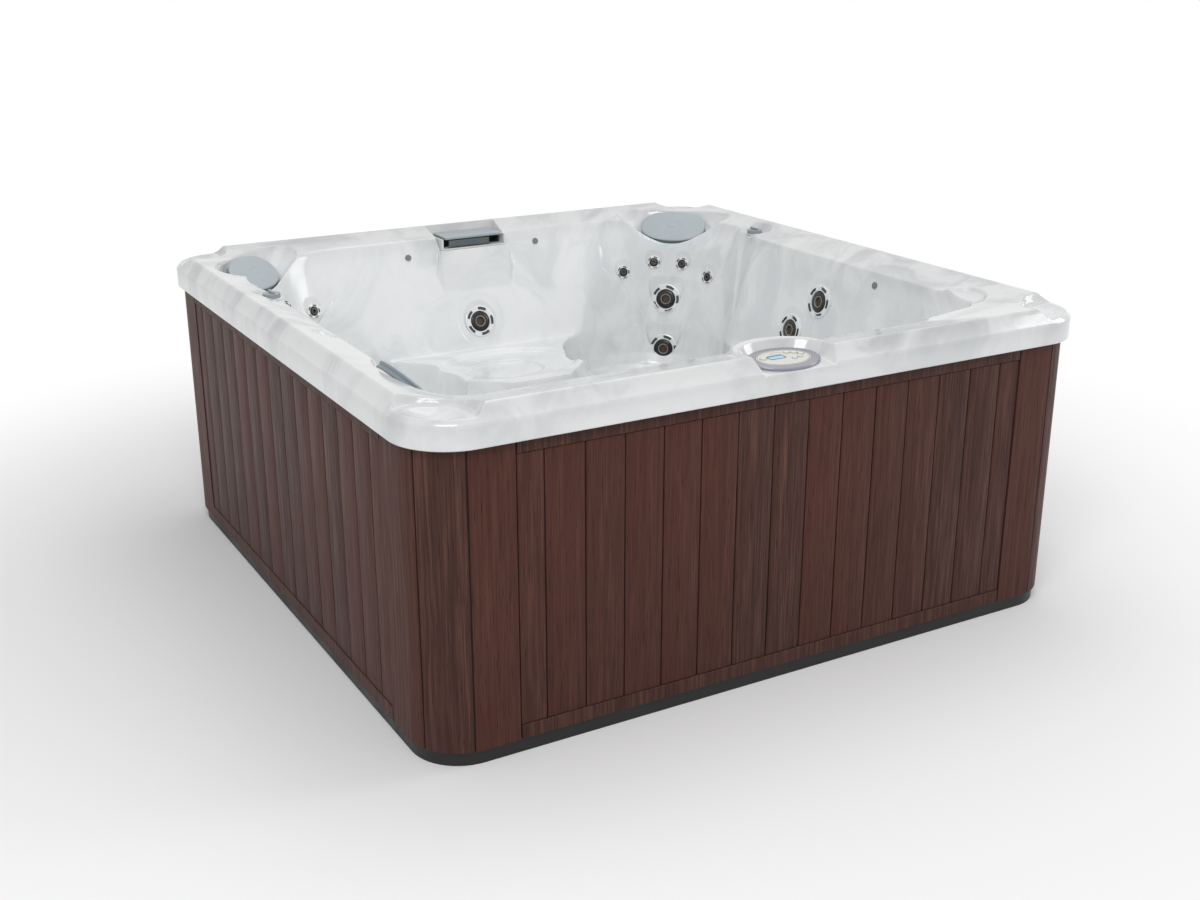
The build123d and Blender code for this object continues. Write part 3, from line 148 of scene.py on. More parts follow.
# The shell's mesh: rays and rings, and where the rays lie closer (reach, softness, share more)
RAYS, RINGS, FINE, CAP_RADIUS = 1240, 296, 1300, 40.0
SIDE_SAMPLES, BEND_SAMPLES, RAY_BAND = 900, 160, 65.0
PANEL_RAYS, SKIMMER_RAYS, CORNER_RAYS = (175.0, 30.0, 1.5), (170.0, 30.0, 1.2), (880.0, 60.0, 0.5)
BEND_WEIGHT, MOST_BEND, SMOOTHINGS = 14.0, 0.5, 3
SHELL_PARTS = ("shell_rim", "shell_walls", "shell_seats", "shell_footwell")


def linear(red, green, blue):
    """A colour given in display values from 0 to 255."""
    values = [c / 255 for c in (red, green, blue)]
    return tuple(c / 12.92 if c <= 0.04045 else ((c + 0.055) / 1.055) ** 2.4 for c in values) + (1,)


# Shader groups shared by the materials
def shader_group(name, setting, value, outputs):
    """A group that takes a vector and one setting, and gives numbers: its tree and its sockets."""
    tree = bpy.data.node_groups.new(name, "ShaderNodeTree")
    add = tree.interface.new_socket
    add(name="Vector", in_out="INPUT", socket_type="NodeSocketVector")
    add(name=setting, in_out="INPUT", socket_type="NodeSocketFloat").default_value = value
    for label in outputs:
        add(name=label, in_out="OUTPUT", socket_type="NodeSocketFloat")
    return tree, tree.nodes.new("NodeGroupInput").outputs, tree.nodes.new("NodeGroupOutput").inputs


def feed(tree, socket, value):
    """Link an output to a socket, or set the socket's own value."""
    if hasattr(value, "is_output"):
        tree.links.new(value, socket)
    else:
        socket.default_value = value


def feed_all(tree, node, **inputs):
    """Feed several inputs; an underscore in a label stands for a space."""
    for label, value in inputs.items():
        feed(tree, node.inputs[label.replace("_", " ")], value)
    return node


def add_node(tree, kind, group=None, **inputs):
    node = tree.nodes.new(kind)
    if group:
        node.node_tree = group
    return feed_all(tree, node, **inputs)


def math_node(tree, operation, *values):
    node = tree.nodes.new("ShaderNodeMath")
    node.operation = operation
    for value, socket in zip(values, node.inputs):
        feed(tree, socket, value)
    return node.outputs[0]


def mix_shaders(tree, factor, first, second, end):
    """Mix two shaders into the surface of an end node."""
    mix = tree.nodes.new("ShaderNodeMixShader")
    for value, socket in zip((factor, first, second), mix.inputs):
        feed(tree, socket, value)
    tree.links.new(mix.outputs[0], end.inputs["Surface"])


def noise(tree, vector, scale, detail=4.0, rough=0.55, distortion=0.0):
    return add_node(tree, "ShaderNodeTexNoise", Vector=vector, Scale=scale, Detail=detail,
                    Roughness=rough, Distortion=distortion).outputs["Fac"]


def span(tree, value, low, high, out_low=0.0, out_high=1.0):
    """Map a value from one range to another, smoothly."""
    node = add_node(tree, "ShaderNodeMapRange", Value=value, From_Min=low, From_Max=high,
                    To_Min=out_low, To_Max=out_high)
    node.interpolation_type = "SMOOTHSTEP"
    return node.outputs["Result"]


def blend_colour(tree, factor, first, second):
    """Mix two colours, each a tuple or a socket."""
    node = tree.nodes.new("ShaderNodeMix")
    node.data_type = "RGBA"
    for value, socket in ((factor, node.inputs[0]), (first, node.inputs[6]), (second, node.inputs[7])):
        feed(tree, socket, value)
    return node.outputs[2]


def stretched(tree, vector, scale):
    return add_node(tree, "ShaderNodeMapping", Vector=vector, Scale=scale).outputs["Vector"]


def build_mould_grain():
    """Fine grain of moulded plastic: a tone that drifts, and a height for its skin."""
    tree, start, end = shader_group("mould_grain", "Grain Scale", 900.0, ("Tone", "Height"))
    drift = noise(tree, start["Vector"], 6.0, detail=3.0)
    tree.links.new(span(tree, drift, 0.3, 0.7), end["Tone"])
    tree.links.new(noise(tree, start["Vector"], start["Grain Scale"], detail=2.0), end["Height"])
    return tree


# The wood's layers: output, scale, detail, roughness, distortion, and the range that counts
WOOD_LAYERS = (("Figure", (64, 64, 1.7), 4.0, 0.6, 0.8, 0.25, 0.75),
               ("Fibre", (230, 230, 5), 3.0, 0.6, 0.0, 0.32, 0.68),
               ("Pores", (420, 420, 14), 2.0, 0.5, 0.0, 0.6, 0.72))
TONE_SHIFT = 37.0


def build_wood_figure():
    """Grain that runs along Z: broad figure, fine fibres and dark pores, moved along for each tone."""
    tree, start, end = shader_group("wood_figure", "Shift", 0.0, [layer[0] for layer in WOOD_LAYERS])
    shift = add_node(tree, "ShaderNodeCombineXYZ", Z=math_node(tree, "MULTIPLY", start["Shift"], TONE_SHIFT))
    moved = tree.nodes.new("ShaderNodeVectorMath")
    tree.links.new(start["Vector"], moved.inputs[0])
    tree.links.new(shift.outputs[0], moved.inputs[1])
    for label, scale, detail, rough, distortion, low, high in WOOD_LAYERS:
        layer = noise(tree, stretched(tree, moved.outputs[0], scale), 1.0, detail, rough, distortion)
        tree.links.new(span(tree, layer, low, high), end[label])
    return tree


MOULD_GRAIN = build_mould_grain()
WOOD_FIGURE = build_wood_figure()


def new_material(name):
    """A material with its tree, its principled shader and its object coordinates."""
    material = bpy.data.materials.new(name)
    material.use_nodes = True
    tree = material.node_tree
    shader = tree.nodes["Principled BSDF"]
    place = tree.nodes.new("ShaderNodeTexCoord")
    return material, tree, shader, place.outputs["Object"]


def bumped(tree, shader, height, strength, distance, **normal):
    bump = add_node(tree, "ShaderNodeBump", Height=height, Strength=strength, Distance=distance, **normal)
    tree.links.new(bump.outputs["Normal"], shader.inputs["Normal"])


def moulded(name, colour, roughness, grain=0.15, edge=0.0, metallic=0.0, grain_scale=900.0, drift=0.12):
    """Moulded plastic or painted metal, with soft tone drift and fine grain."""
    material, tree, shader, vector = new_material(name)
    skin = add_node(tree, "ShaderNodeGroup", MOULD_GRAIN, Vector=vector, Grain_Scale=grain_scale)
    tone, colour = skin.outputs["Tone"], linear(*colour)[:3]
    dark, light = (tuple(min(1, c * share) for c in colour) + (1,) for share in (1 - drift, 1 + drift))
    feed_all(tree, shader, Base_Color=blend_colour(tree, tone, dark, light), Metallic=metallic,
             Roughness=span(tree, tone, 0, 1, roughness * 0.85, roughness * 1.15))
    normal = {}
    if edge:
        bevel = add_node(tree, "ShaderNodeBevel", Radius=edge * MM)
        bevel.samples = 4
        normal = dict(Normal=bevel.outputs["Normal"])
    bumped(tree, shader, skin.outputs["Height"], grain, 0.0003, **normal)
    return material


def acrylic_material():
    """Glossy pale acrylic with soft grey marbling, a little greyer on the rim."""
    material, tree, shader, vector = new_material("marbled_acrylic")
    warp = noise(tree, vector, 1.6, 3.0)
    moved = tree.nodes.new("ShaderNodeVectorMath")
    moved.operation = "MULTIPLY_ADD"
    moved.inputs[1].default_value = (0.9, 0.9, 0.9)
    tree.links.new(warp, moved.inputs[0])
    tree.links.new(stretched(tree, vector, (1.5, 2.6, 1.5)), moved.inputs[2])
    veins = noise(tree, moved.outputs[0], 1.5, 6.0, 0.62, 1.2)
    soft = noise(tree, vector, 4.5, 4.0, 0.6, 0.6)
    streak = span(tree, veins, 0.36, 0.62)
    base = blend_colour(tree, streak, linear(212, 215, 216), linear(231, 232, 232))
    cloud = span(tree, soft, 0.35, 0.65, 0.0, 0.3)
    base = blend_colour(tree, cloud, base, linear(216, 218, 219))
    apart = tree.nodes.new("ShaderNodeSeparateXYZ")
    tree.links.new(vector, apart.inputs[0])
    rim = span(tree, apart.outputs["Z"], 0.84, 0.93, 0.0, 1.0)
    rim_veins = span(tree, veins, 0.3, 0.6, 1.0, 0.25)
    rim_tint = blend_colour(tree, rim_veins, linear(218, 218, 218), linear(178, 180, 181))
    base = blend_colour(tree, rim, base, rim_tint)
    feed_all(tree, shader, Base_Color=base, Roughness=span(tree, soft, 0.3, 0.7, 0.1, 0.17), IOR=1.49,
             Coat_Weight=0.25, Coat_Roughness=0.05)
    bumped(tree, shader, noise(tree, vector, 9.0, 2.0), 0.05, 0.002)
    return material


def wood_material(name, dark, light, red, roughness):
    """Stained boards: vertical figure, fibres and pores, each board in its own tone."""
    material, tree, shader, vector = new_material(name)
    dark, light, red = (linear(*colour) for colour in (dark, light, red))
    tone = tree.nodes.new("ShaderNodeAttribute")
    tone.attribute_name = "tone"
    value = tone.outputs["Fac"]
    figure = add_node(tree, "ShaderNodeGroup", WOOD_FIGURE, Vector=vector, Shift=value)
    base = blend_colour(tree, figure.outputs["Figure"], dark, light)
    base = blend_colour(tree, span(tree, figure.outputs["Fibre"], 0, 1, 0.0, 0.8), base, dark)
    base = blend_colour(tree, span(tree, value, 0.0, 1.0, 0.0, 0.55), base, red)
    pore = tuple(c * 0.35 for c in dark[:3]) + (1,)
    base = blend_colour(tree, span(tree, figure.outputs["Pores"], 0, 1, 0.0, 0.7), base, pore)
    feed_all(tree, shader, Base_Color=base, Specular_IOR_Level=0.18,
             Roughness=span(tree, figure.outputs["Fibre"], 0, 1, roughness, roughness + 0.14))
    bumped(tree, shader, figure.outputs["Fibre"], 0.3, 0.0006)
    return material


def display_material():
    """Pale blue display: darker along its top edge, with faint cell rows."""
    material, tree, shader, vector = new_material("display_glass")
    apart = tree.nodes.new("ShaderNodeSeparateXYZ")
    tree.links.new(vector, apart.inputs[0])
    top = span(tree, apart.outputs["Y"], -0.974, -0.968)
    rows = add_node(tree, "ShaderNodeTexWave", Vector=vector, Scale=160.0)
    rows.bands_direction = "Y"
    base = blend_colour(tree, span(tree, rows.outputs["Fac"], 0.2, 0.8, 0.0, 0.25),
                        linear(134, 194, 238), linear(104, 168, 222))
    feed_all(tree, shader, Base_Color=blend_colour(tree, top, base, linear(48, 74, 98)), Roughness=0.12,
             Coat_Weight=0.5)
    return material


ACRYLIC = acrylic_material()
BOARDS = wood_material("stained_boards", (54, 34, 29), (98, 66, 57), (82, 43, 35), 0.46)
TIMBER = wood_material("frame_timber", (160, 122, 78), (196, 160, 112), (178, 138, 90), 0.6)
GROOVE_SHADE = moulded("groove_shade", (26, 15, 12), 0.7)
PAN = moulded("pan_plastic", (20, 20, 21), 0.5, 0.35, 1.5)
# Pillow foam in two copies: the darker side copy is painted shade on the cushion's side and bottom
FOAM_TOP = moulded("pillow_foam_top", (168, 176, 180), 0.52, 0.4, grain_scale=1500.0, drift=0.04)
FOAM_SIDE_PAINTED_SHADE = moulded("pillow_foam_side_painted_shade", (126, 137, 142), 0.6, 0.5, grain_scale=1500.0, drift=0.05)
JET_RING = moulded("jet_ring_silver", (222, 224, 224), 0.22, 0.05, 0.0, 0.1, drift=0.03)
JET_SLOT = moulded("jet_slot_grey", (74, 78, 80), 0.4)
JET_BLACK = moulded("jet_disc_black", (16, 16, 17), 0.22, 0.1)
JET_INNER = moulded("jet_inner_ring", (120, 118, 112), 0.28, 0.1)
JET_HOLE = moulded("jet_nozzle_brown", (58, 40, 22), 0.4)
SKIMMER = moulded("skimmer_plastic", (160, 168, 172), 0.35, 0.15, 1.5, drift=0.05)
WEIR = moulded("weir_plastic", (92, 100, 103), 0.4, 0.15, 1.0)
BEZEL = moulded("bezel_lilac_grey", (146, 144, 156), 0.24, 0.06, 2.0, 0.25, drift=0.04)
FACEPLATE = moulded("faceplate_cream", (206, 206, 197), 0.3, 0.08, 0.8, drift=0.03)
BUTTON = moulded("button_cream", (214, 214, 206), 0.34, 0.1, 0.8, drift=0.03)
PRINT = moulded("panel_print", (52, 56, 64), 0.4, 0.05)
KNOB = moulded("knob_grey", (140, 148, 153), 0.3, 0.1, 1.5, drift=0.04)
LIGHT = moulded("light_bezel", (112, 116, 118), 0.25, 0.05, 1.0)
LENS = moulded("clear_lens", (188, 198, 204), 0.12, 0.03, 1.0)
SUCTION = moulded("suction_grey", (196, 200, 202), 0.35, 0.15, 1.0)
STEEL = moulded("plain_steel", (168, 170, 172), 0.3, 0.05, 0.5, 1.0)
PIPE = moulded("pipe_white", (222, 222, 218), 0.35, 0.1)
HOSE = moulded("hose_clear_grey", (184, 190, 188), 0.3, 0.1)
PUMP = moulded("pump_black", (30, 31, 33), 0.4, 0.3, 1.0)
MOTOR = moulded("motor_paint", (84, 88, 92), 0.38, 0.2, 1.0, 0.3)
BOX_METAL = moulded("box_paint", (150, 154, 156), 0.36, 0.15, 1.0, 0.4)
PAPER = moulded("filter_paper", (226, 226, 218), 0.8, 0.6)
DISPLAY = display_material()

# How the nodes' names begin, and their material: the first that fits counts
FINISHES = ((("panel_clips", "heater"), STEEL), ("panel_bezel", BEZEL), ("panel_faceplate", FACEPLATE),
            (("panel_", "corner_post"), BOARDS), ("shell", ACRYLIC), ("base_pan", PAN), ("frame", TIMBER),
            ("lcd_window", DISPLAY), (("jet_bodies", "air_valve", "plumbing"), PIPE),
            (("jet_nuts", "pump_housing", "pump_impeller"), PUMP), ("jet_hoses", HOSE),
            ("jet_face", JET_RING), ("pillow", FOAM_TOP), ("skimmer", SKIMMER), ("weir_flap", WEIR),
            ("filter_cartridges", PAPER), ("button", BUTTON), ("air_knob", KNOB),
            ("waterline_lights", LIGHT), ("suction_covers", SUCTION), ("light_lens", LENS),
            ("pump_motor", MOTOR), ("control_box", BOX_METAL))


def finish_frame():
    """Give every carried-over node its material."""
    for name, node in nodes.items():
        material = next(m for start, m in FINISHES if name.startswith(start))
        if not node.material_slots:
            node.data.materials.append(material)
        for slot in node.material_slots:
            slot.material = material


def placed(name, data):
    thing = bpy.data.objects.new(name, data)
    bpy.context.scene.collection.objects.link(thing)
    return thing


def make_piece(name, points, faces, materials, zones=None, tones=None, normals=None):
    """A mesh object from points in millimetres."""
    mesh = bpy.data.meshes.new(name)
    mesh.from_pydata((np.asarray(points, float) * MM).tolist(), [], faces)
    for material in materials:
        mesh.materials.append(material)
    if zones is not None:
        mesh.polygons.foreach_set("material_index", np.asarray(zones, np.int32))
    mesh.polygons.foreach_set("use_smooth", np.ones(len(mesh.polygons), bool))
    if tones is not None:
        tone = mesh.attributes.new("tone", "FLOAT", "POINT")
        tone.data.foreach_set("value", np.asarray(tones, np.float32))
    mesh.update()
    if normals is not None:
        mesh.normals_split_custom_set_from_vertices(normals.tolist())
    return placed(name, mesh)


def give(piece, body, slot, *replaced):
    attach(piece, body)
    if replaced:
        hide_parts(*replaced)


def band_faces(rings, count):
    """Faces between closed rings of points, ring after ring."""
    i = np.arange(count)
    j = (i + 1) % count
    first = np.arange(rings - 1)[:, None] * count
    return np.stack([first + i, first + j, first + count + j, first + count + i], axis=2).reshape(-1, 4)


def round_places(count, exponent=2.0):
    """Places round a circle, or round a squarer oval for a larger exponent."""
    turns = np.linspace(0, 2 * math.pi, count, endpoint=False)
    return [np.sign(part) * np.abs(part) ** (2 / exponent) for part in (np.cos(turns), np.sin(turns))]


def on_plane(seat, a, b, height):
    """Points at a across, b up and height above a plane."""
    origin, across, up, normal = seat
    return origin + np.outer(a, across) + np.outer(b, up) + np.outer(height, normal)


# The moulded shell, as a height over each place in plan
def soft_min(a, b, k):
    h = np.clip(0.5 + 0.5 * (b - a) / k, 0, 1)
    return b + (a - b) * h - k * h * (1 - h)


def soft_max(a, b, k):
    return -soft_min(-a, -b, k)


def rise(value, width):
    """A smooth step from 0 to 1 around zero."""
    t = np.clip(0.5 + value / (2 * width), 0, 1)
    return t * t * (3 - 2 * t)


def box_depth(x, y, west, east, south, north, corner):
    """How far inside a rounded rectangle each place lies."""
    cx, cy = (west + east) / 2, (south + north) / 2
    a = np.abs(x - cx) - (east - west) / 2 + corner
    b = np.abs(y - cy) - (north - south) / 2 + corner
    outside = np.hypot(np.maximum(a, 0), np.maximum(b, 0))
    return corner - outside - np.minimum(np.maximum(a, b), 0)


def square_depth(x, y, half, corner):
    return box_depth(x, y, -half, half, -half, half, corner)


def basin_depth(x, y, west, east, south, north, pod, lounge, cut):
    """How far inside a basin outline, with its front right corner cut off, each place lies."""
    w, e, s, n = x - west, east - x, y - south, north - y
    depth = np.minimum(np.minimum(w, e), np.minimum(s, n))
    for a, b, radius in ((w, n, pod), (e, n, pod), (w, s, lounge)):
        near = (a < radius) & (b < radius)
        depth = np.where(near, radius - np.hypot(radius - a, radius - b), depth)
    diagonal = (east - cut - south - x + y) / math.sqrt(2)
    return soft_min(depth, diagonal, CUT_SOFT)


def oval_radius(u, v, half):
    return np.hypot(u / half[0], v / half[1])


def pressed(z, u, v, half, level, bowl, steep, soft):
    """Press an oval hollow: its floor curves up by bowl at its edge, and steep sides follow."""
    radius = oval_radius(u, v, half)
    floor = level + bowl * np.minimum(radius, 1) ** BOWL_POWER
    return soft_min(z, floor + steep * np.maximum(radius - 1, 0) * min(half), soft)


def diagonals(u, v):
    """Places turned by an eighth of a turn."""
    return (u - v) / math.sqrt(2), (u + v) / math.sqrt(2)


def plane_frame(origin, normal):
    """A plane's axes: across, level with the ground, and up along the slope."""
    n = Vector(normal).normalized()
    across = Vector((-n.y, n.x, 0)).normalized()
    return np.array(origin), np.array(across), np.array(n.cross(across)), np.array(n)


def plane_height(x, y, origin, normal):
    return origin[2] - (normal[0] * (x - origin[0]) + normal[1] * (y - origin[1])) / normal[2]


PILLOWS = {}
for sign, label in ((-1, "bl"), (1, "br")):
    side_way = PILLOW_REACH / math.sqrt(2)
    lean = math.sin(PILLOW_TILT) / math.sqrt(2)
    PILLOWS["pillow_" + label] = plane_frame((sign * side_way, side_way, PILLOW_Z),
                                             (-sign * lean, -lean, math.cos(PILLOW_TILT)))
PILLOWS["pillow_fl"] = plane_frame(LOUNGE_PILLOW, (math.sin(LOUNGE_PILLOW_TILT), 0,
                                                   math.cos(LOUNGE_PILLOW_TILT)))

JETS = {}
for joint in frame["joints"]:
    if joint["child"].startswith("jet_face"):
        low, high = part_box(joint["child"])
        radius = LARGE_JET if (high - low).length > LARGE_JET_BOX else SMALL_JET
        normal = np.array(joint["axis"], float)
        origin = np.array(joint["pos_m"], float) / MM - normal * POCKET_DEPTH
        JETS[joint["child"]] = (plane_frame(origin, normal), radius)


def lounge_curve():
    """The lounge's softened profile: places along X, and their levels."""
    places = np.arange(LOUNGE_SPAN[0], LOUNGE_SPAN[1] + LOUNGE_STEP, LOUNGE_STEP)
    reach = 30
    kernel = np.exp(-0.5 * (np.arange(-reach, reach + 1) * LOUNGE_STEP / LOUNGE_BLUR) ** 2)
    levels = np.pad(np.interp(places, LOUNGE_X, LOUNGE_Z), reach, mode="edge")
    return places, np.convolve(levels, kernel / kernel.sum(), "valid")


LOUNGE_CURVE = lounge_curve()


def rim_and_walls(x, y):
    edge = square_depth(x, y, LIP_HALF, LIP_CORNER)
    crest = square_depth(x, y, CREST_HALF, CREST_CORNER)
    deck = basin_depth(x, y, **DECK)
    bench = basin_depth(x, y, **BENCH)
    rim = CREST_Z - (CREST_Z - DECK_Z) * crest / np.maximum(crest - deck, 1)
    bevel = LIP_EDGE + (CREST_Z - LIP_EDGE) * edge / BEVEL_RUN
    rim = soft_min(rim, bevel, RIM_SOFT)
    run = np.maximum(deck - bench, 1)
    wall = DECK_Z - (DECK_Z - BENCH_Z) * deck / run
    ring = np.hypot(x, wall - TERRACE_Z)
    terrace = sum(height * rise(ring - radius, soft) for radius, soft, height in TERRACE_STEPS)
    wall = wall + np.where(y > TERRACE_SOUTH, terrace * (DECK_Z - BENCH_Z) / run, 0)
    z = soft_min(rim, wall, WALL_SOFT)
    return soft_max(z, np.full_like(z, BENCH_Z), BENCH_SOFT)


def add_raised(x, y, z):
    """The panel's shroud, the boss in the seatless corner and the ledge under the skimmer."""
    half = (PANEL_HALF[0] + SHROUD_MARGIN, PANEL_HALF[1] + SHROUD_MARGIN)
    out = (oval_radius(x - PANEL_PLACE[0], y - PANEL_PLACE[1] - SHROUD_BACK, half) - 1) * half[1]
    edge = square_depth(x, y, LIP_HALF, LIP_CORNER)
    shroud = (SHROUD_Z - SHROUD_SLOPE * np.maximum(out, 0)
              - SHROUD_FRONT_SLOPE * np.maximum(BEVEL_RUN - edge, 0))
    z = np.where(out < RAISED_REACH, soft_max(z, shroud, SHROUD_SOFT), z)
    across, along = diagonals(x - BOSS_PLACE[0], y - BOSS_PLACE[1])
    out = (oval_radius(along, across, BOSS_HALF) - 1) * BOSS_HALF[1]
    boss = BOSS_Z - BOSS_SLOPE * np.maximum(out, 0)
    z = np.where(out < RAISED_REACH, soft_max(z, boss, BOSS_SOFT), z)
    z = pressed(z, along, across, **BOSS_RECESS)
    ledge = SKIMMER_Z + LEDGE_LIFT - LEDGE_SLOPE * np.maximum(LEDGE_FRONT - y, 0)
    ledge = ledge - LEDGE_END_SLOPE * np.maximum(np.abs(x - SKIMMER_X) - LEDGE_HALF, 0)
    on_ledge = (y > LEDGE_FRONT - RAISED_REACH) & (y < DECK["north"])
    return np.where(on_ledge, soft_max(z, ledge, LEDGE_SOFT), z)


def press_rim(x, y, z):
    """Corner notches with their dishes, knob recesses, the finger recess, skimmer and panel pocket."""
    for sx in (-1, 1):
        for sy in (-1, 1):
            across, along = diagonals(x * sx - NOTCH_CENTRE, y * sy - NOTCH_CENTRE)
            z = pressed(z, across, along, **NOTCH)
            z = pressed(z, across, along, **DISH)
    for px, py in KNOB_PLACES:
        z = pressed(z, y - py, x - px, **KNOB_RECESS)
    z = pressed(z, y - FINGER_PLACE[1], x - FINGER_PLACE[0], **FINGER_RECESS)
    beyond = np.maximum(np.abs(x - SKIMMER_X) - SKIMMER_HALF,
                        np.maximum(SKIMMER_FRONT - y, y - SKIMMER_BACK))
    z = np.minimum(z, SKIMMER_Z + SKIMMER_SPLAY * np.maximum(beyond, 0))
    u, v = x - PANEL_PLACE[0], y - PANEL_PLACE[1]
    half = (PANEL_HALF[0] + PANEL_MARGIN, PANEL_HALF[1] + PANEL_MARGIN)
    out = np.where(v > 0, (oval_radius(u, v, half) - 1) * half[1], np.abs(u) - half[0])
    floor = PANEL_PLACE[2] - POCKET_DEPTH + math.tan(PANEL_TILT) * v
    return soft_min(z, floor + PANEL_SPLAY * np.maximum(out, 0), PANEL_SOFT)


def pod_height(x, y, side):
    """A corner seat: revolved about its axis, with bolsters either side of the jets, and its mouth."""
    u = (x * side + y - 2 * POD_AXIS) / math.sqrt(2)
    v = (y - x * side) / math.sqrt(2)
    radius = np.hypot(u, v)
    bearing = np.degrees(np.arctan2(np.abs(v), u))
    level = np.interp(radius, POD_RADII, POD_LEVELS)
    outer, inner = (np.interp(level, *edge) for edge in (BOLSTER_OUTER, BOLSTER_INNER))
    bolster = rise(bearing - inner, BOLSTER_SOFT[0]) * rise(outer - bearing, BOLSTER_SOFT[1])
    bolster = bolster * rise(level - BOLSTER_FOOT, BOLSTER_FADE)
    level = np.interp(radius + BOLSTER * bolster, POD_RADII, POD_LEVELS)
    mouth = POD_LEVELS[0] - MOUTH_RISE * u / MOUTH_LENGTH
    mouth = mouth + MOUTH_SLOPE * np.maximum(np.abs(v) - MOUTH_HALF, 0)
    mouth = np.where((u < 0) & (u > -MOUTH_LENGTH), mouth, NO_SEAT)
    return np.where((x * side > 0) & (y > 0), np.minimum(level, mouth), NO_SEAT)


def press_seats(x, y, z):
    """Corner seats, the dished bench, the lounge, the right seat and the footwell."""
    for side in (-1, 1):
        z = soft_min(z, pod_height(x, y, side), POD_SOFT)
    for place, half, depth in BENCH_DISHES:
        inside = 1 - oval_radius(x - place[0], y - place[1], half)
        z = z - depth * rise(inside - BENCH_DISH_EDGE, BENCH_DISH_EDGE)
    beside = np.maximum(np.maximum(LOUNGE_SOUTH - y, y - LOUNGE_NORTH), 0)
    past_ends = np.maximum(x - LOUNGE_X[-1], 0) + np.maximum(LOUNGE_X[1] - x, 0)
    lounge = np.interp(x, *LOUNGE_CURVE) + SEAT_SLOPE * beside + SEAT_SLOPE * past_ends
    z = soft_min(z, lounge, SEAT_SOFT)
    z = soft_min(z, SEAT_Z + SEAT_SLOPE * np.maximum(-box_depth(x, y, **SEAT_BOX), 0), SEAT_SOFT)
    well = WELL_TOP - WELL_SLOPE * square_depth(x, y, WELL_HALF, WELL_CORNER)
    well = soft_max(well, np.full_like(z, WELL_FLOOR), WELL_SOFT)
    return soft_min(z, well, WELL_BRIM)


def near_plane(x, y, z, origin, normal, reach):
    """The places near a bed, their heights, its plane's heights and each place's offset on it."""
    near = np.nonzero((np.abs(x - origin[0]) < reach) & (np.abs(y - origin[1]) < reach))
    px, py = x[near], y[near]
    flat = plane_height(px, py, origin, normal)
    return near, z[near], flat, np.stack([px - origin[0], py - origin[1], flat - origin[2]], axis=-1)


def press_beds(x, y, z):
    """Flat beds for the pillows and round pockets for the jets."""
    half = (PILLOW_HALF[0] + PILLOW_MARGIN, PILLOW_HALF[1] + PILLOW_MARGIN)
    for origin, across, up, normal in PILLOWS.values():
        near, old, flat, offset = near_plane(x, y, z, origin, normal, BED_REACH)
        out = np.maximum((oval_radius(offset @ across, offset @ up, half) - 1) * half[1], 0)
        z[near] = np.minimum(np.maximum(old, flat - BED_FILL * out), flat + BED_CUT * out)
    for (origin, _, _, normal), radius in JETS.values():
        near, old, flat, offset = near_plane(x, y, z, origin, normal, radius * 2 + POCKET_REACH)
        out = np.maximum(np.linalg.norm(offset, axis=-1) - radius - POCKET_MARGIN, 0)
        near_level = np.abs(flat - origin[2]) < radius + POCKET_REACH * 2
        bed = flat + POCKET_SPLAY * out / normal[2]
        z[near] = np.where(near_level, soft_min(old, bed, POCKET_SOFT), old)
    return z


def shell_height(x, y):
    z = rim_and_walls(x, y)
    z = add_raised(x, y, z)
    z = press_rim(x, y, z)
    z = press_seats(x, y, z)
    return press_beds(x, y, z)


def square_outline(half, corner, count, weight):
    """Places round a rounded square, closer together where the weight is larger."""
    straight = half - corner
    fine = []
    for quarter in range(4):
        turn = quarter * math.pi / 2
        c, s = math.cos(turn), math.sin(turn)
        side = [(half, t) for t in np.linspace(-straight, straight, SIDE_SAMPLES, endpoint=False)]
        bend = [(straight + corner * math.cos(a), straight + corner * math.sin(a))
                for a in np.linspace(0, math.pi / 2, BEND_SAMPLES, endpoint=False)]
        fine += [(c * a - s * b, s * a + c * b) for a, b in side + bend]
    fine = np.array(fine + fine[:1])
    step = np.hypot(*np.diff(fine, axis=0).T)
    middle = (fine[1:] + fine[:-1]) / 2
    run = np.concatenate([[0], np.cumsum(step * weight(middle[:, 0], middle[:, 1]))])
    at = np.linspace(0, run[-1], count, endpoint=False)
    return np.stack([np.interp(at, run, fine[:, 0]), np.interp(at, run, fine[:, 1])], axis=1)


def ray_weight(x, y):
    """More rays through the panel, the skimmer and the corner dishes."""
    weight = 1
    focus = (-1, PANEL_PLACE[0], PANEL_RAYS), (1, SKIMMER_X, SKIMMER_RAYS)
    for side, centre, (reach, soft, more) in focus:
        weight = weight + more * (y * side > LIP_HALF - RAY_BAND) * rise(reach - np.abs(x - centre), soft)
    reach, soft, more = CORNER_RAYS
    return weight + more * rise(np.minimum(np.abs(x), np.abs(y)) - reach, soft)


def ring_places(outline):
    """Along each ray inwards, places that lie close where the surface is steep or bends."""
    reach = np.hypot(outline[:, 0], outline[:, 1])
    share = np.linspace(0, 1, FINE)
    inward = share[None, :] * (reach[:, None] - CAP_RADIUS)
    keep = 1 - inward / reach[:, None]
    x, y = outline[:, :1] * keep, outline[:, 1:] * keep
    z = shell_height(x, y)
    dr, dz = np.diff(inward, axis=1), np.diff(z, axis=1)
    angle = np.arctan2(dz, dr)
    bend = np.abs(np.diff(angle, axis=1, prepend=angle[:, :1]))
    run = np.cumsum(np.hypot(dr, dz) + BEND_WEIGHT * np.minimum(bend, MOST_BEND), axis=1)
    run = np.concatenate([np.zeros((len(run), 1)), run], axis=1)
    run /= run[:, -1:]
    for _ in range(SMOOTHINGS):
        run = sum(np.roll(run, shift, 0) for shift in (2, 1, 0, -1, -2)) / 5
    at = np.linspace(0, 1, RINGS)
    return np.array([1 - np.interp(at, r, i) / far for r, i, far in zip(run, inward, reach)])


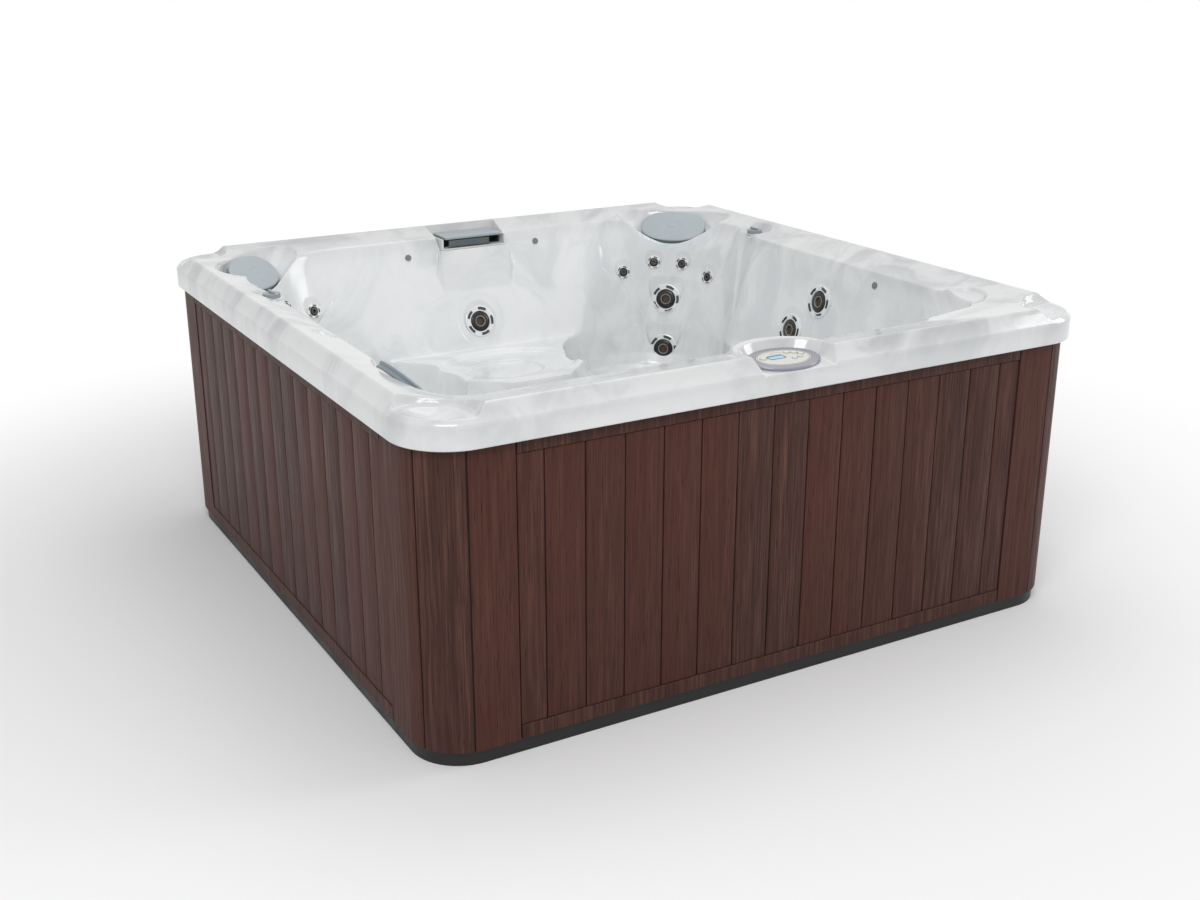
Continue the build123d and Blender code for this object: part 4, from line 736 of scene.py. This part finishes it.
def lip_rings(outline):
    """The band below the rim and the small return under it."""
    ahead, behind = np.roll(outline, -1, 0), np.roll(outline, 1, 0)
    along = (ahead - behind) / np.linalg.norm(ahead - behind, axis=1, keepdims=True)
    inward = np.stack([-along[:, 1], along[:, 0]], axis=1)
    return [np.column_stack([outline + inward * inset, np.full(len(outline), float(level))])
            for inset, level in LIP_RETURN]


def grid_normals(grid):
    around = np.roll(grid, -1, 1) - np.roll(grid, 1, 1)
    normal = np.cross(around, np.gradient(grid, axis=0))
    return normal / np.maximum(np.linalg.norm(normal, axis=2, keepdims=True), 1e-9)


def shell_pieces():
    outline = square_outline(LIP_HALF, LIP_CORNER, RAYS, ray_weight)
    keep = ring_places(outline)
    x, y = outline[:, :1] * keep, outline[:, 1:] * keep
    surface = np.stack([x, y, shell_height(x, y)], axis=2).transpose(1, 0, 2)
    grid = np.concatenate([np.array(lip_rings(outline)), surface])
    normals = grid_normals(grid)
    rings = len(grid)
    limits = np.linspace(0, rings - 1, len(SHELL_PARTS) + 1).astype(int)
    for part, (top, bottom) in enumerate(zip(limits[:-1], limits[1:])):
        points = grid[top:bottom + 1].reshape(-1, 3)
        faces = band_faces(bottom - top + 1, RAYS)
        middle = points[faces].mean(axis=1)
        open_well = ((np.abs(middle[:, 0] - SKIMMER_X) < BUCKET_HALF) & (middle[:, 1] > BUCKET_FRONT)
                     & (middle[:, 1] < BUCKET_BACK) & (middle[:, 2] < BUCKET_TOP))
        faces = faces[~open_well].tolist()
        if part == len(SHELL_PARTS) - 1:
            faces.append(list(range((bottom - top) * RAYS, (bottom - top + 1) * RAYS)))
        piece = make_piece(SHELL_PARTS[part], points, faces, [ACRYLIC],
                           normals=normals[top:bottom + 1].reshape(-1, 3))
        give(piece, "tub", "acrylic", "shell")


# Turned pieces: jets and pillows
def disc_grid(rings, count):
    """Faces of a closed set of rings, outermost first, with the last ring filled."""
    return band_faces(rings, count).tolist() + [list(range((rings - 1) * count, rings * count))]


JET_PROFILE = ((1.0, -3.0, 0), (1.0, 5.4, 0), (0.985, 7.2, 0), (0.955, 8.0, 0), (0.93, 8.2, 0),
               (0.905, 8.2, 0), (0.885, 8.2, 0), (0.87, 8.2, 0), (0.74, 8.2, 0), (0.725, 8.2, 0),
               (0.70, 8.2, 0), (0.66, 8.0, 0), (0.655, 7.2, 0), (0.645, 4.2, 2), (0.62, 4.0, 2),
               (0.6, 5.4, 2), (0.56, 6.8, 2), (0.5, 7.6, 2), (0.42, 8.1, 2), (0.36, 8.0, 2),
               (0.35, 9.2, 3), (0.335, 9.7, 3), (0.305, 9.7, 3), (0.29, 9.2, 3), (0.275, 7.4, 4),
               (0.25, 3.6, 4), (0.22, 1.6, 4), (0.1, 1.2, 4))
JET_STEPS = 140
JET_SLOTS = 5
SLOT_HALF_ANGLE, SLOT_SINK = 19.0, 4.5
SLOT_FLOOR, SLOT_PAINT = (0.73, 0.9), (0.71, 0.91)


def jet_piece(name, seat, radius):
    """A jet's turning face: ring with five slots, black disc, inner ring and nozzle."""
    c, s = round_places(JET_STEPS)
    turns = np.linspace(0, 2 * math.pi, JET_STEPS, endpoint=False)
    half_share = math.pi / JET_SLOTS
    from_slot = np.degrees((turns + half_share) % (2 * half_share) - half_share)
    slot = np.abs(from_slot) < SLOT_HALF_ANGLE
    points, zones = [], []
    for share, height, zone in JET_PROFILE:
        sunk = slot & (SLOT_FLOOR[0] < share < SLOT_FLOOR[1])
        level = np.where(sunk, height - SLOT_SINK, height)
        points.append(on_plane(seat, radius * share * c, radius * share * s, level))
    for (share, _, zone), (inner, _, _) in zip(JET_PROFILE[:-1], JET_PROFILE[1:]):
        in_slot = slot & np.roll(slot, -1) & (SLOT_PAINT[0] < inner) & (share < SLOT_PAINT[1])
        zones += np.where(in_slot, 1, zone).tolist()
    piece = make_piece(name + "_trim", np.concatenate(points), disc_grid(len(JET_PROFILE), JET_STEPS),
                       [JET_RING, JET_SLOT, JET_BLACK, JET_INNER, JET_HOLE], zones + [4])
    piece.data.set_sharp_from_angle(angle=math.radians(38))
    give(piece, name, "jet_trim", name)


# Pillow rings: share of the half size, height and zone; zone 1 is the side, in the darker foam copy as
# painted shade
PILLOW_PROFILE = ((0.6, 0.4, 1), (0.93, 0.4, 1), (0.972, 1.6, 1), (0.985, 4.5, 1),
                  (0.978, 9.0, 1), (0.958, 11.5, 1), (0.95, 12.5, 1), (0.958, 13.5, 1), (0.985, 16.0, 1),
                  (0.996, 19.0, 1), (0.99, 22.0, 0), (0.965, 24.2, 0), (0.93, 25.0, 0), (0.86, 25.4, 0),
                  (0.7, 26.2, 0), (0.5, 27.2, 0), (0.4, 27.7, 0))
PILLOW_STEPS, PILLOW_EXPONENT = 128, 2.25
BADGE_HALF, BADGE_Z = (26.0, 12.0), 28.1
BADGE_RINGS = ((1.18, 0.0), (1.08, -0.9), (1.0, -0.9), (0.9, 0.0), (0.5, 0.25), (0.1, 0.3))


def pillow_piece(name, seat):
    """A crowned oval cushion with a drawn-in seam round its side and a bare oval on top; its side and bottom
    take a darker copy of the foam as painted shade.
    """
    rings = [(share, PILLOW_HALF, round_places(PILLOW_STEPS, PILLOW_EXPONENT), height, zone)
             for share, height, zone in PILLOW_PROFILE]
    rings += [(share, BADGE_HALF, round_places(PILLOW_STEPS), BADGE_Z + drop, 0)
              for share, drop in BADGE_RINGS]
    points, zones = [], []
    for share, half, (c, s), height, zone in rings:
        points.append(on_plane(seat, share * half[0] * c, share * half[1] * s, height))
        zones += [zone] * PILLOW_STEPS
    faces = disc_grid(len(rings), PILLOW_STEPS)
    faces.append(list(range(PILLOW_STEPS))[::-1])
    # The top cap takes the foam, the bottom cap the darker copy as painted shade
    zones = zones[:len(faces) - 2] + [0, 1]
    piece = make_piece(name + "_cushion", np.concatenate(points), faces, [FOAM_TOP, FOAM_SIDE_PAINTED_SHADE], zones)
    give(piece, "tub", "pillow_foam", name)


# Cabinet: board rows by nodes, rails and posts
def board_row_tree():
    """Upright boards in a row, each with its own tone."""
    tree = bpy.data.node_groups.new("board_row", "GeometryNodeTree")
    add = tree.interface.new_socket
    add(name="Geometry", in_out="OUTPUT", socket_type="NodeSocketGeometry")
    for label, kind in (("Count", "Int"), ("Pitch", "Float"), ("Width", "Float"), ("Thickness", "Float"),
                        ("Height", "Float"), ("Seed", "Int"), ("Material", "Material")):
        add(name=label, in_out="INPUT", socket_type="NodeSocket" + kind)
    start = tree.nodes.new("NodeGroupInput").outputs
    size = add_node(tree, "ShaderNodeCombineXYZ", X=start["Width"], Y=start["Thickness"], Z=start["Height"])
    board = add_node(tree, "GeometryNodeMeshCube", Size=size.outputs[0])
    gap = add_node(tree, "ShaderNodeCombineXYZ", X=start["Pitch"])
    row = add_node(tree, "GeometryNodeMeshLine", Count=start["Count"], Offset=gap.outputs[0])
    place = add_node(tree, "GeometryNodeInstanceOnPoints", Points=row.outputs["Mesh"],
                     Instance=board.outputs["Mesh"])
    pick = add_node(tree, "FunctionNodeRandomValue", Seed=start["Seed"])
    store = tree.nodes.new("GeometryNodeStoreNamedAttribute")
    store.data_type, store.domain = "FLOAT", "INSTANCE"
    feed_all(tree, store, Geometry=place.outputs["Instances"], Name="tone", Value=pick.outputs[1])
    real = add_node(tree, "GeometryNodeRealizeInstances", Geometry=store.outputs["Geometry"])
    paint = add_node(tree, "GeometryNodeSetMaterial", Geometry=real.outputs["Geometry"],
                     Material=start["Material"])
    add_node(tree, "NodeGroupOutput", Geometry=paint.outputs["Geometry"])
    return tree


BOARD_ROW = board_row_tree()


def node_result(tree, bevel, **values):
    """Points in millimetres, faces and tones of a node tree's result, with bevelled edges."""
    holder = placed("row_holder", bpy.data.meshes.new("row_holder"))
    modifier = holder.modifiers.new("row", "NODES")
    modifier.node_group = tree
    sockets = {s.name: s.identifier for s in tree.interface.items_tree if s.in_out == "INPUT"}
    for label, value in values.items():
        modifier[sockets[label]] = value
    rounding = holder.modifiers.new("rounding", "BEVEL")
    rounding.width = bevel * MM
    rounding.segments = 2
    shown = holder.evaluated_get(bpy.context.evaluated_depsgraph_get())
    mesh = bpy.data.meshes.new_from_object(shown)
    points = np.array([v.co[:] for v in mesh.vertices]) / MM
    faces = [list(p.vertices) for p in mesh.polygons]
    tones = np.zeros(len(points), np.float32)
    mesh.attributes["tone"].data.foreach_get("value", tones)
    holder.modifiers.clear()
    bpy.data.objects.remove(holder)
    bpy.data.meshes.remove(mesh)
    return points, faces, tones


def slab(west, east, south, north, bottom, top, soft=EDGE_SOFT):
    """A bar with softened long edges, along X."""
    section = [(south, bottom + soft), (south + soft, bottom), (north, bottom), (north, top),
               (south + soft, top), (south, top - soft)]
    points = [(x, a, b) for x in (west, east) for a, b in section]
    count = len(section)
    faces = [[k, k + count, (k + 1) % count + count, (k + 1) % count] for k in range(count)]
    faces += [list(range(count)), list(range(count, 2 * count))[::-1]]
    return np.array(points), faces, np.full(len(points), RAIL_TONE)


def joined(parts):
    points, faces, tones, zones = [], [], [], []
    total = 0
    for (part_points, part_faces, part_tones), zone in parts:
        points.append(part_points)
        faces += [[v + total for v in face] for face in part_faces]
        tones.append(part_tones)
        zones += [zone] * len(part_faces)
        total += len(part_points)
    return np.concatenate(points), faces, np.concatenate(tones), zones


def turned(points, quarter):
    """Turn a panel from the front to another side."""
    c, s = ((1, 0), (0, 1), (-1, 0), (0, -1))[quarter]
    return np.stack([c * points[:, 0] - s * points[:, 1], s * points[:, 0] + c * points[:, 1],
                     points[:, 2]], axis=1)


def side_panels():
    """Fifteen upright boards between two rails, on each side."""
    height = (FIELD_TOP - FIELD_BOTTOM) * MM
    full = GROOVE_COUNT - 1
    outer = -CABINET_HALF
    end_width = PANEL_LENGTH - GROOVE_PITCH * full / 2 - GROOVE_WIDTH / 2
    end_place = PANEL_LENGTH - end_width / 2
    middle = (FIELD_BOTTOM + FIELD_TOP) / 2
    depth = outer + FIELD_DEPTH + FIELD_THICK / 2
    for quarter, name in enumerate(("panel_front", "panel_right", "panel_back", "panel_left")):
        rows = [(full, GROOVE_PITCH, GROOVE_PITCH - GROOVE_WIDTH, -GROOVE_PITCH * (full - 1) / 2,
                 MIDDLE_SEED),
                (2, 2 * end_place, end_width, -end_place, END_SEED)]
        parts = []
        for count, pitch, width, first, seed in rows:
            row = node_result(BOARD_ROW, 1.0, Count=count, Pitch=pitch * MM, Width=width * MM,
                              Thickness=FIELD_THICK * MM, Height=height, Seed=seed + SEED_STEP * quarter,
                              Material=BOARDS)
            parts.append(((row[0] + np.array([first, depth, middle]), row[1], row[2]), 0))
        back = outer + FIELD_DEPTH + GROOVE_DEPTH
        parts.append((slab(-PANEL_LENGTH + 1, PANEL_LENGTH - 1, back, outer + BOARD_THICK,
                           BOARD_BOTTOM + BACK_INSET, BOARD_TOP - BACK_INSET), 1))
        for bottom, top in ((BOARD_BOTTOM, FIELD_BOTTOM - RAIL_GAP), (FIELD_TOP + RAIL_GAP, BOARD_TOP)):
            parts.append((slab(-PANEL_LENGTH, PANEL_LENGTH, outer, outer + BOARD_THICK, bottom, top), 0))
        points, faces, tones, zones = joined(parts)
        piece = make_piece("boards_" + name.split("_")[1], turned(points, quarter), faces,
                           [BOARDS, GROOVE_SHADE], zones, tones)
        piece.data.set_sharp_from_angle(angle=SHARP_EDGE)
        give(piece, "tub", "cabinet", name)


def post_section():
    """Outer line of the front left post in plan, with its outward directions and groove depths."""
    centre = CABINET_HALF - CABINET_CORNER
    line = [(CABINET_HALF, t, 1.0, 0.0, 0.0) for t in np.linspace(CABINET_HALF - POST_LEG, centre, 4)[:-1]]
    half_turn = math.degrees(GROOVE_WIDTH / 2 / CABINET_CORNER)
    turns = {float(a): 0.0 for a in np.linspace(0, 90, 46)}
    for groove in POST_GROOVES:
        turns = {a: d for a, d in turns.items() if abs(a - groove) > half_turn * 1.6}
        for side in (-1, 1):
            turns.update({groove + side * (half_turn + beyond): depth for beyond, depth in GROOVE_EDGE})
    for angle in sorted(turns):
        c, s = math.cos(math.radians(angle)), math.sin(math.radians(angle))
        line.append((centre + CABINET_CORNER * c, centre + CABINET_CORNER * s, c, s, turns[angle]))
    line += [(t, CABINET_HALF, 0.0, 1.0, 0.0) for t in np.linspace(centre, CABINET_HALF - POST_LEG, 4)[1:]]
    return np.array(line)


def corner_posts():
    """Four rounded corner posts of three boards each, with a groove between two boards."""
    line = post_section()
    outer = line[:, :2] - line[:, 2:4] * line[:, 4:]
    inner = line[:, :2] - line[:, 2:4] * BOARD_THICK
    ring = np.concatenate([outer, inner[::-1]])
    count, half = len(ring), len(line)
    centre = CABINET_HALF - CABINET_CORNER
    angle = np.degrees(np.arctan2(line[:, 1] - centre, line[:, 0] - centre))
    angle = np.clip(np.where(line[:, 3] == 1, 90, np.where(line[:, 2] == 1, 0, angle)), 0, 90)
    tone = np.array(POST_TONES)[np.searchsorted(POST_GROOVES, angle, side="right")]
    tone = np.concatenate([tone, tone[::-1]])
    levels = [BOARD_BOTTOM, BOARD_BOTTOM + EDGE_SOFT, BOARD_TOP - EDGE_SOFT, BOARD_TOP]
    in_groove = [int(k < half - 1 and min(line[k, 4], line[k + 1, 4]) > GROOVE_DEPTH / 2)
                 for k in range(count)]
    for name, sx, sy in (("corner_post_fl", -1, -1), ("corner_post_fr", 1, -1),
                         ("corner_post_br", 1, 1), ("corner_post_bl", -1, 1)):
        points = np.concatenate([np.column_stack([ring * (sx, sy), np.full(count, z)]) for z in levels])
        faces = band_faces(len(levels), count).tolist()
        top = (len(levels) - 1) * count
        for k in range(half - 1):
            faces.append([k, count - 1 - k, count - 2 - k, k + 1])
            faces.append([top + k, top + k + 1, top + count - 2 - k, top + count - 1 - k])
        zones = in_groove * (len(levels) - 1) + [0] * (2 * (half - 1))
        if sx * sy < 0:
            faces = [face[::-1] for face in faces]
        piece = make_piece(name + "_boards", points, faces, [BOARDS, GROOVE_SHADE], zones,
                           np.tile(tone, len(levels)))
        piece.data.set_sharp_from_angle(angle=SHARP_EDGE)
        give(piece, "tub", "cabinet", name)


# Skimmer recess, across from its middle: white sill and cheeks (0), dark bucket (1)
SKIMMER_BARS = (((-126, 126, 897, 936, 858.2, 862), 0), ((-126, -121, 899, 1016, 862, 897), 0),
                ((121, 126, 899, 1016, 862, 897), 0), ((-121, 121, 1012, 1018, 862, 897), 0),
                ((-119, 119, 934, 938, 640, 861), 1), ((-119, 119, 1010, 1013, 640, 890), 1),
                ((-119, -116, 935, 1012, 640, 890), 1), ((116, 119, 935, 1012, 640, 890), 1),
                ((-117, 117, 936, 1012, 640, 644), 1))
BAR_SOFT = 0.6


def skimmer_liner():
    """Sill, cheeks and bucket of the skimmer, open above the sill."""
    bars = [(slab(SKIMMER_X + west, SKIMMER_X + east, *rest, soft=BAR_SOFT), zone)
            for (west, east, *rest), zone in SKIMMER_BARS]
    points, faces, _, zones = joined(bars)
    piece = make_piece("skimmer_liner", points, faces, [PIPE, WEIR], zones)
    piece.data.set_sharp_from_angle(angle=SHARP_EDGE)
    give(piece, "tub", "skimmer_plastic", "skimmer_housing")


# Prints on the control panel: place, half sizes, width, height over the face, squareness
RING_WIDTH, RING_TOP = 1.1, 0.25
PRINT_BANDS = tuple((u, v, half, RING_WIDTH, RING_TOP, 2.0) for u, v, half in (
    (-58, 9, (11.5, 8.5)), (30, 28, (10.5, 8)), (48, 21, (10.5, 8)), (61, 8, (10.5, 8)),
    (47, -9, (9, 6.8)), (27, -14, (9, 6.8))))
PRINT_BANDS += ((0, 0, (77.5, 50.5), 1.2, RING_TOP, 2.0), (-18, 7, (25.5, 12.5), 1.6, 0.7, 6.0),
                (-4, 32, (17, 7), 0.8, 0.2, 2.0))
PRINT_STEPS, PRINT_FOOT, PRINT_SOFT = 48, 0.3, (0.2, 0.15)
PANEL_SEAT = plane_frame(PANEL_PLACE, (0, -math.sin(PANEL_TILT), math.cos(PANEL_TILT)))


def oval_band(u, v, half, width, raised, exponent):
    """A flat oval band on the panel, with a softened top."""
    c, s = round_places(PRINT_STEPS, exponent)
    low, top = FACE_TOP - PRINT_FOOT, FACE_TOP + raised
    inset, drop = PRINT_SOFT
    rows = ((0.0, low), (0.0, top - drop), (inset, top), (width - inset, top), (width, top - drop),
            (width, low))
    points = [on_plane(PANEL_SEAT, u + (half[0] - inward) * c, v + (half[1] - inward) * s, height)
              for inward, height in rows]
    points = np.concatenate(points)
    return points, band_faces(len(rows), PRINT_STEPS).tolist(), np.zeros(len(points))


def panel_prints():
    points, faces, _, zones = joined([(oval_band(*band), 0) for band in PRINT_BANDS])
    give(make_piece("panel_prints", points, faces, [PRINT], zones), "tub", "faceplate")


# Floor, lights and camera
FLOOR_HALF = 30000
SOFT_LIGHT, WHITE_LIGHT = ((0.985, 0.99, 1.0, 1), 0.56), ((1, 1, 1, 1), 1.0)
LAMP_AIM = (0, 0, 500)


def floor_material():
    """Pale floor that keeps the shadow near the tub and turns white further out."""
    material, tree, shader, vector = new_material("pale_floor")
    feed_all(tree, shader, Base_Color=(0.88, 0.88, 0.88, 1), Roughness=0.9, Specular_IOR_Level=0.0)
    far = tree.nodes.new("ShaderNodeVectorMath")
    far.operation = "LENGTH"
    tree.links.new(vector, far.inputs[0])
    distance = span(tree, far.outputs["Value"], 1.5, 3.2)
    rays = tree.nodes.new("ShaderNodeLightPath").outputs
    seen = math_node(tree, "MAXIMUM", rays["Is Camera Ray"], rays["Is Glossy Ray"])
    white = tree.nodes.new("ShaderNodeEmission")
    mix_shaders(tree, math_node(tree, "MULTIPLY", distance, seen), shader.outputs[0], white.outputs[0],
                tree.nodes["Material Output"])
    return material


def build_floor():
    half = FLOOR_HALF
    corners = [(-half, -half, 0), (half, -half, 0), (half, half, 0), (-half, half, 0)]
    make_piece("floor", corners, [[0, 1, 2, 3]], [floor_material()])


def build_world():
    """White to the camera and in reflections, softer as light."""
    world = bpy.data.worlds.new("studio")
    bpy.context.scene.world = world
    world.use_nodes = True
    tree = world.node_tree
    tree.nodes.clear()
    soft, white = (add_node(tree, "ShaderNodeBackground", Color=colour, Strength=strength).outputs[0]
                   for colour, strength in (SOFT_LIGHT, WHITE_LIGHT))
    rays = tree.nodes.new("ShaderNodeLightPath").outputs
    seen = math_node(tree, "MAXIMUM", rays["Is Camera Ray"], rays["Is Glossy Ray"])
    seen = math_node(tree, "MAXIMUM", seen, rays["Is Transmission Ray"])
    mix_shaders(tree, seen, soft, white, tree.nodes.new("ShaderNodeOutputWorld"))


LAMPS = (("key_lamp", (-2600, -3600, 4600), (2600, 1800), 118.0),
         ("top_lamp", (600, 600, 5200), (3000, 3000), 48.0),
         ("side_lamp", (4200, -1800, 2600), (1800, 1800), 45.0))


def build_lamps():
    for name, place, size, power in LAMPS:
        lamp = bpy.data.lights.new(name, "AREA")
        lamp.shape = "RECTANGLE"
        lamp.size, lamp.size_y = size[0] * MM, size[1] * MM
        lamp.energy = power
        holder = placed(name, lamp)
        holder.location = Vector(place) * MM
        aim = Vector(LAMP_AIM) * MM - holder.location
        holder.rotation_euler = aim.to_track_quat("-Z", "Y").to_euler()


def build_camera():
    camera = bpy.data.cameras.new("photo_camera")
    camera.lens = CAMERA_LENS
    camera.sensor_width, camera.clip_end = 36, 200
    holder = placed("photo_camera", camera)
    holder.location = Vector(CAMERA_PLACE) * MM
    holder.rotation_euler = Vector(CAMERA_LOOK).to_track_quat("-Z", "Y").to_euler()
    bpy.context.scene.camera = holder


build_camera()
finish_frame()
shell_pieces()
for jet_name, (jet_seat, jet_radius) in JETS.items():
    jet_piece(jet_name, jet_seat, jet_radius)
for pillow_name, pillow_seat in PILLOWS.items():
    pillow_piece(pillow_name, pillow_seat)
side_panels()
corner_posts()
skimmer_liner()
panel_prints()
build_floor()
build_world()
build_lamps()
bpy.context.scene.view_settings.view_transform = "Standard"
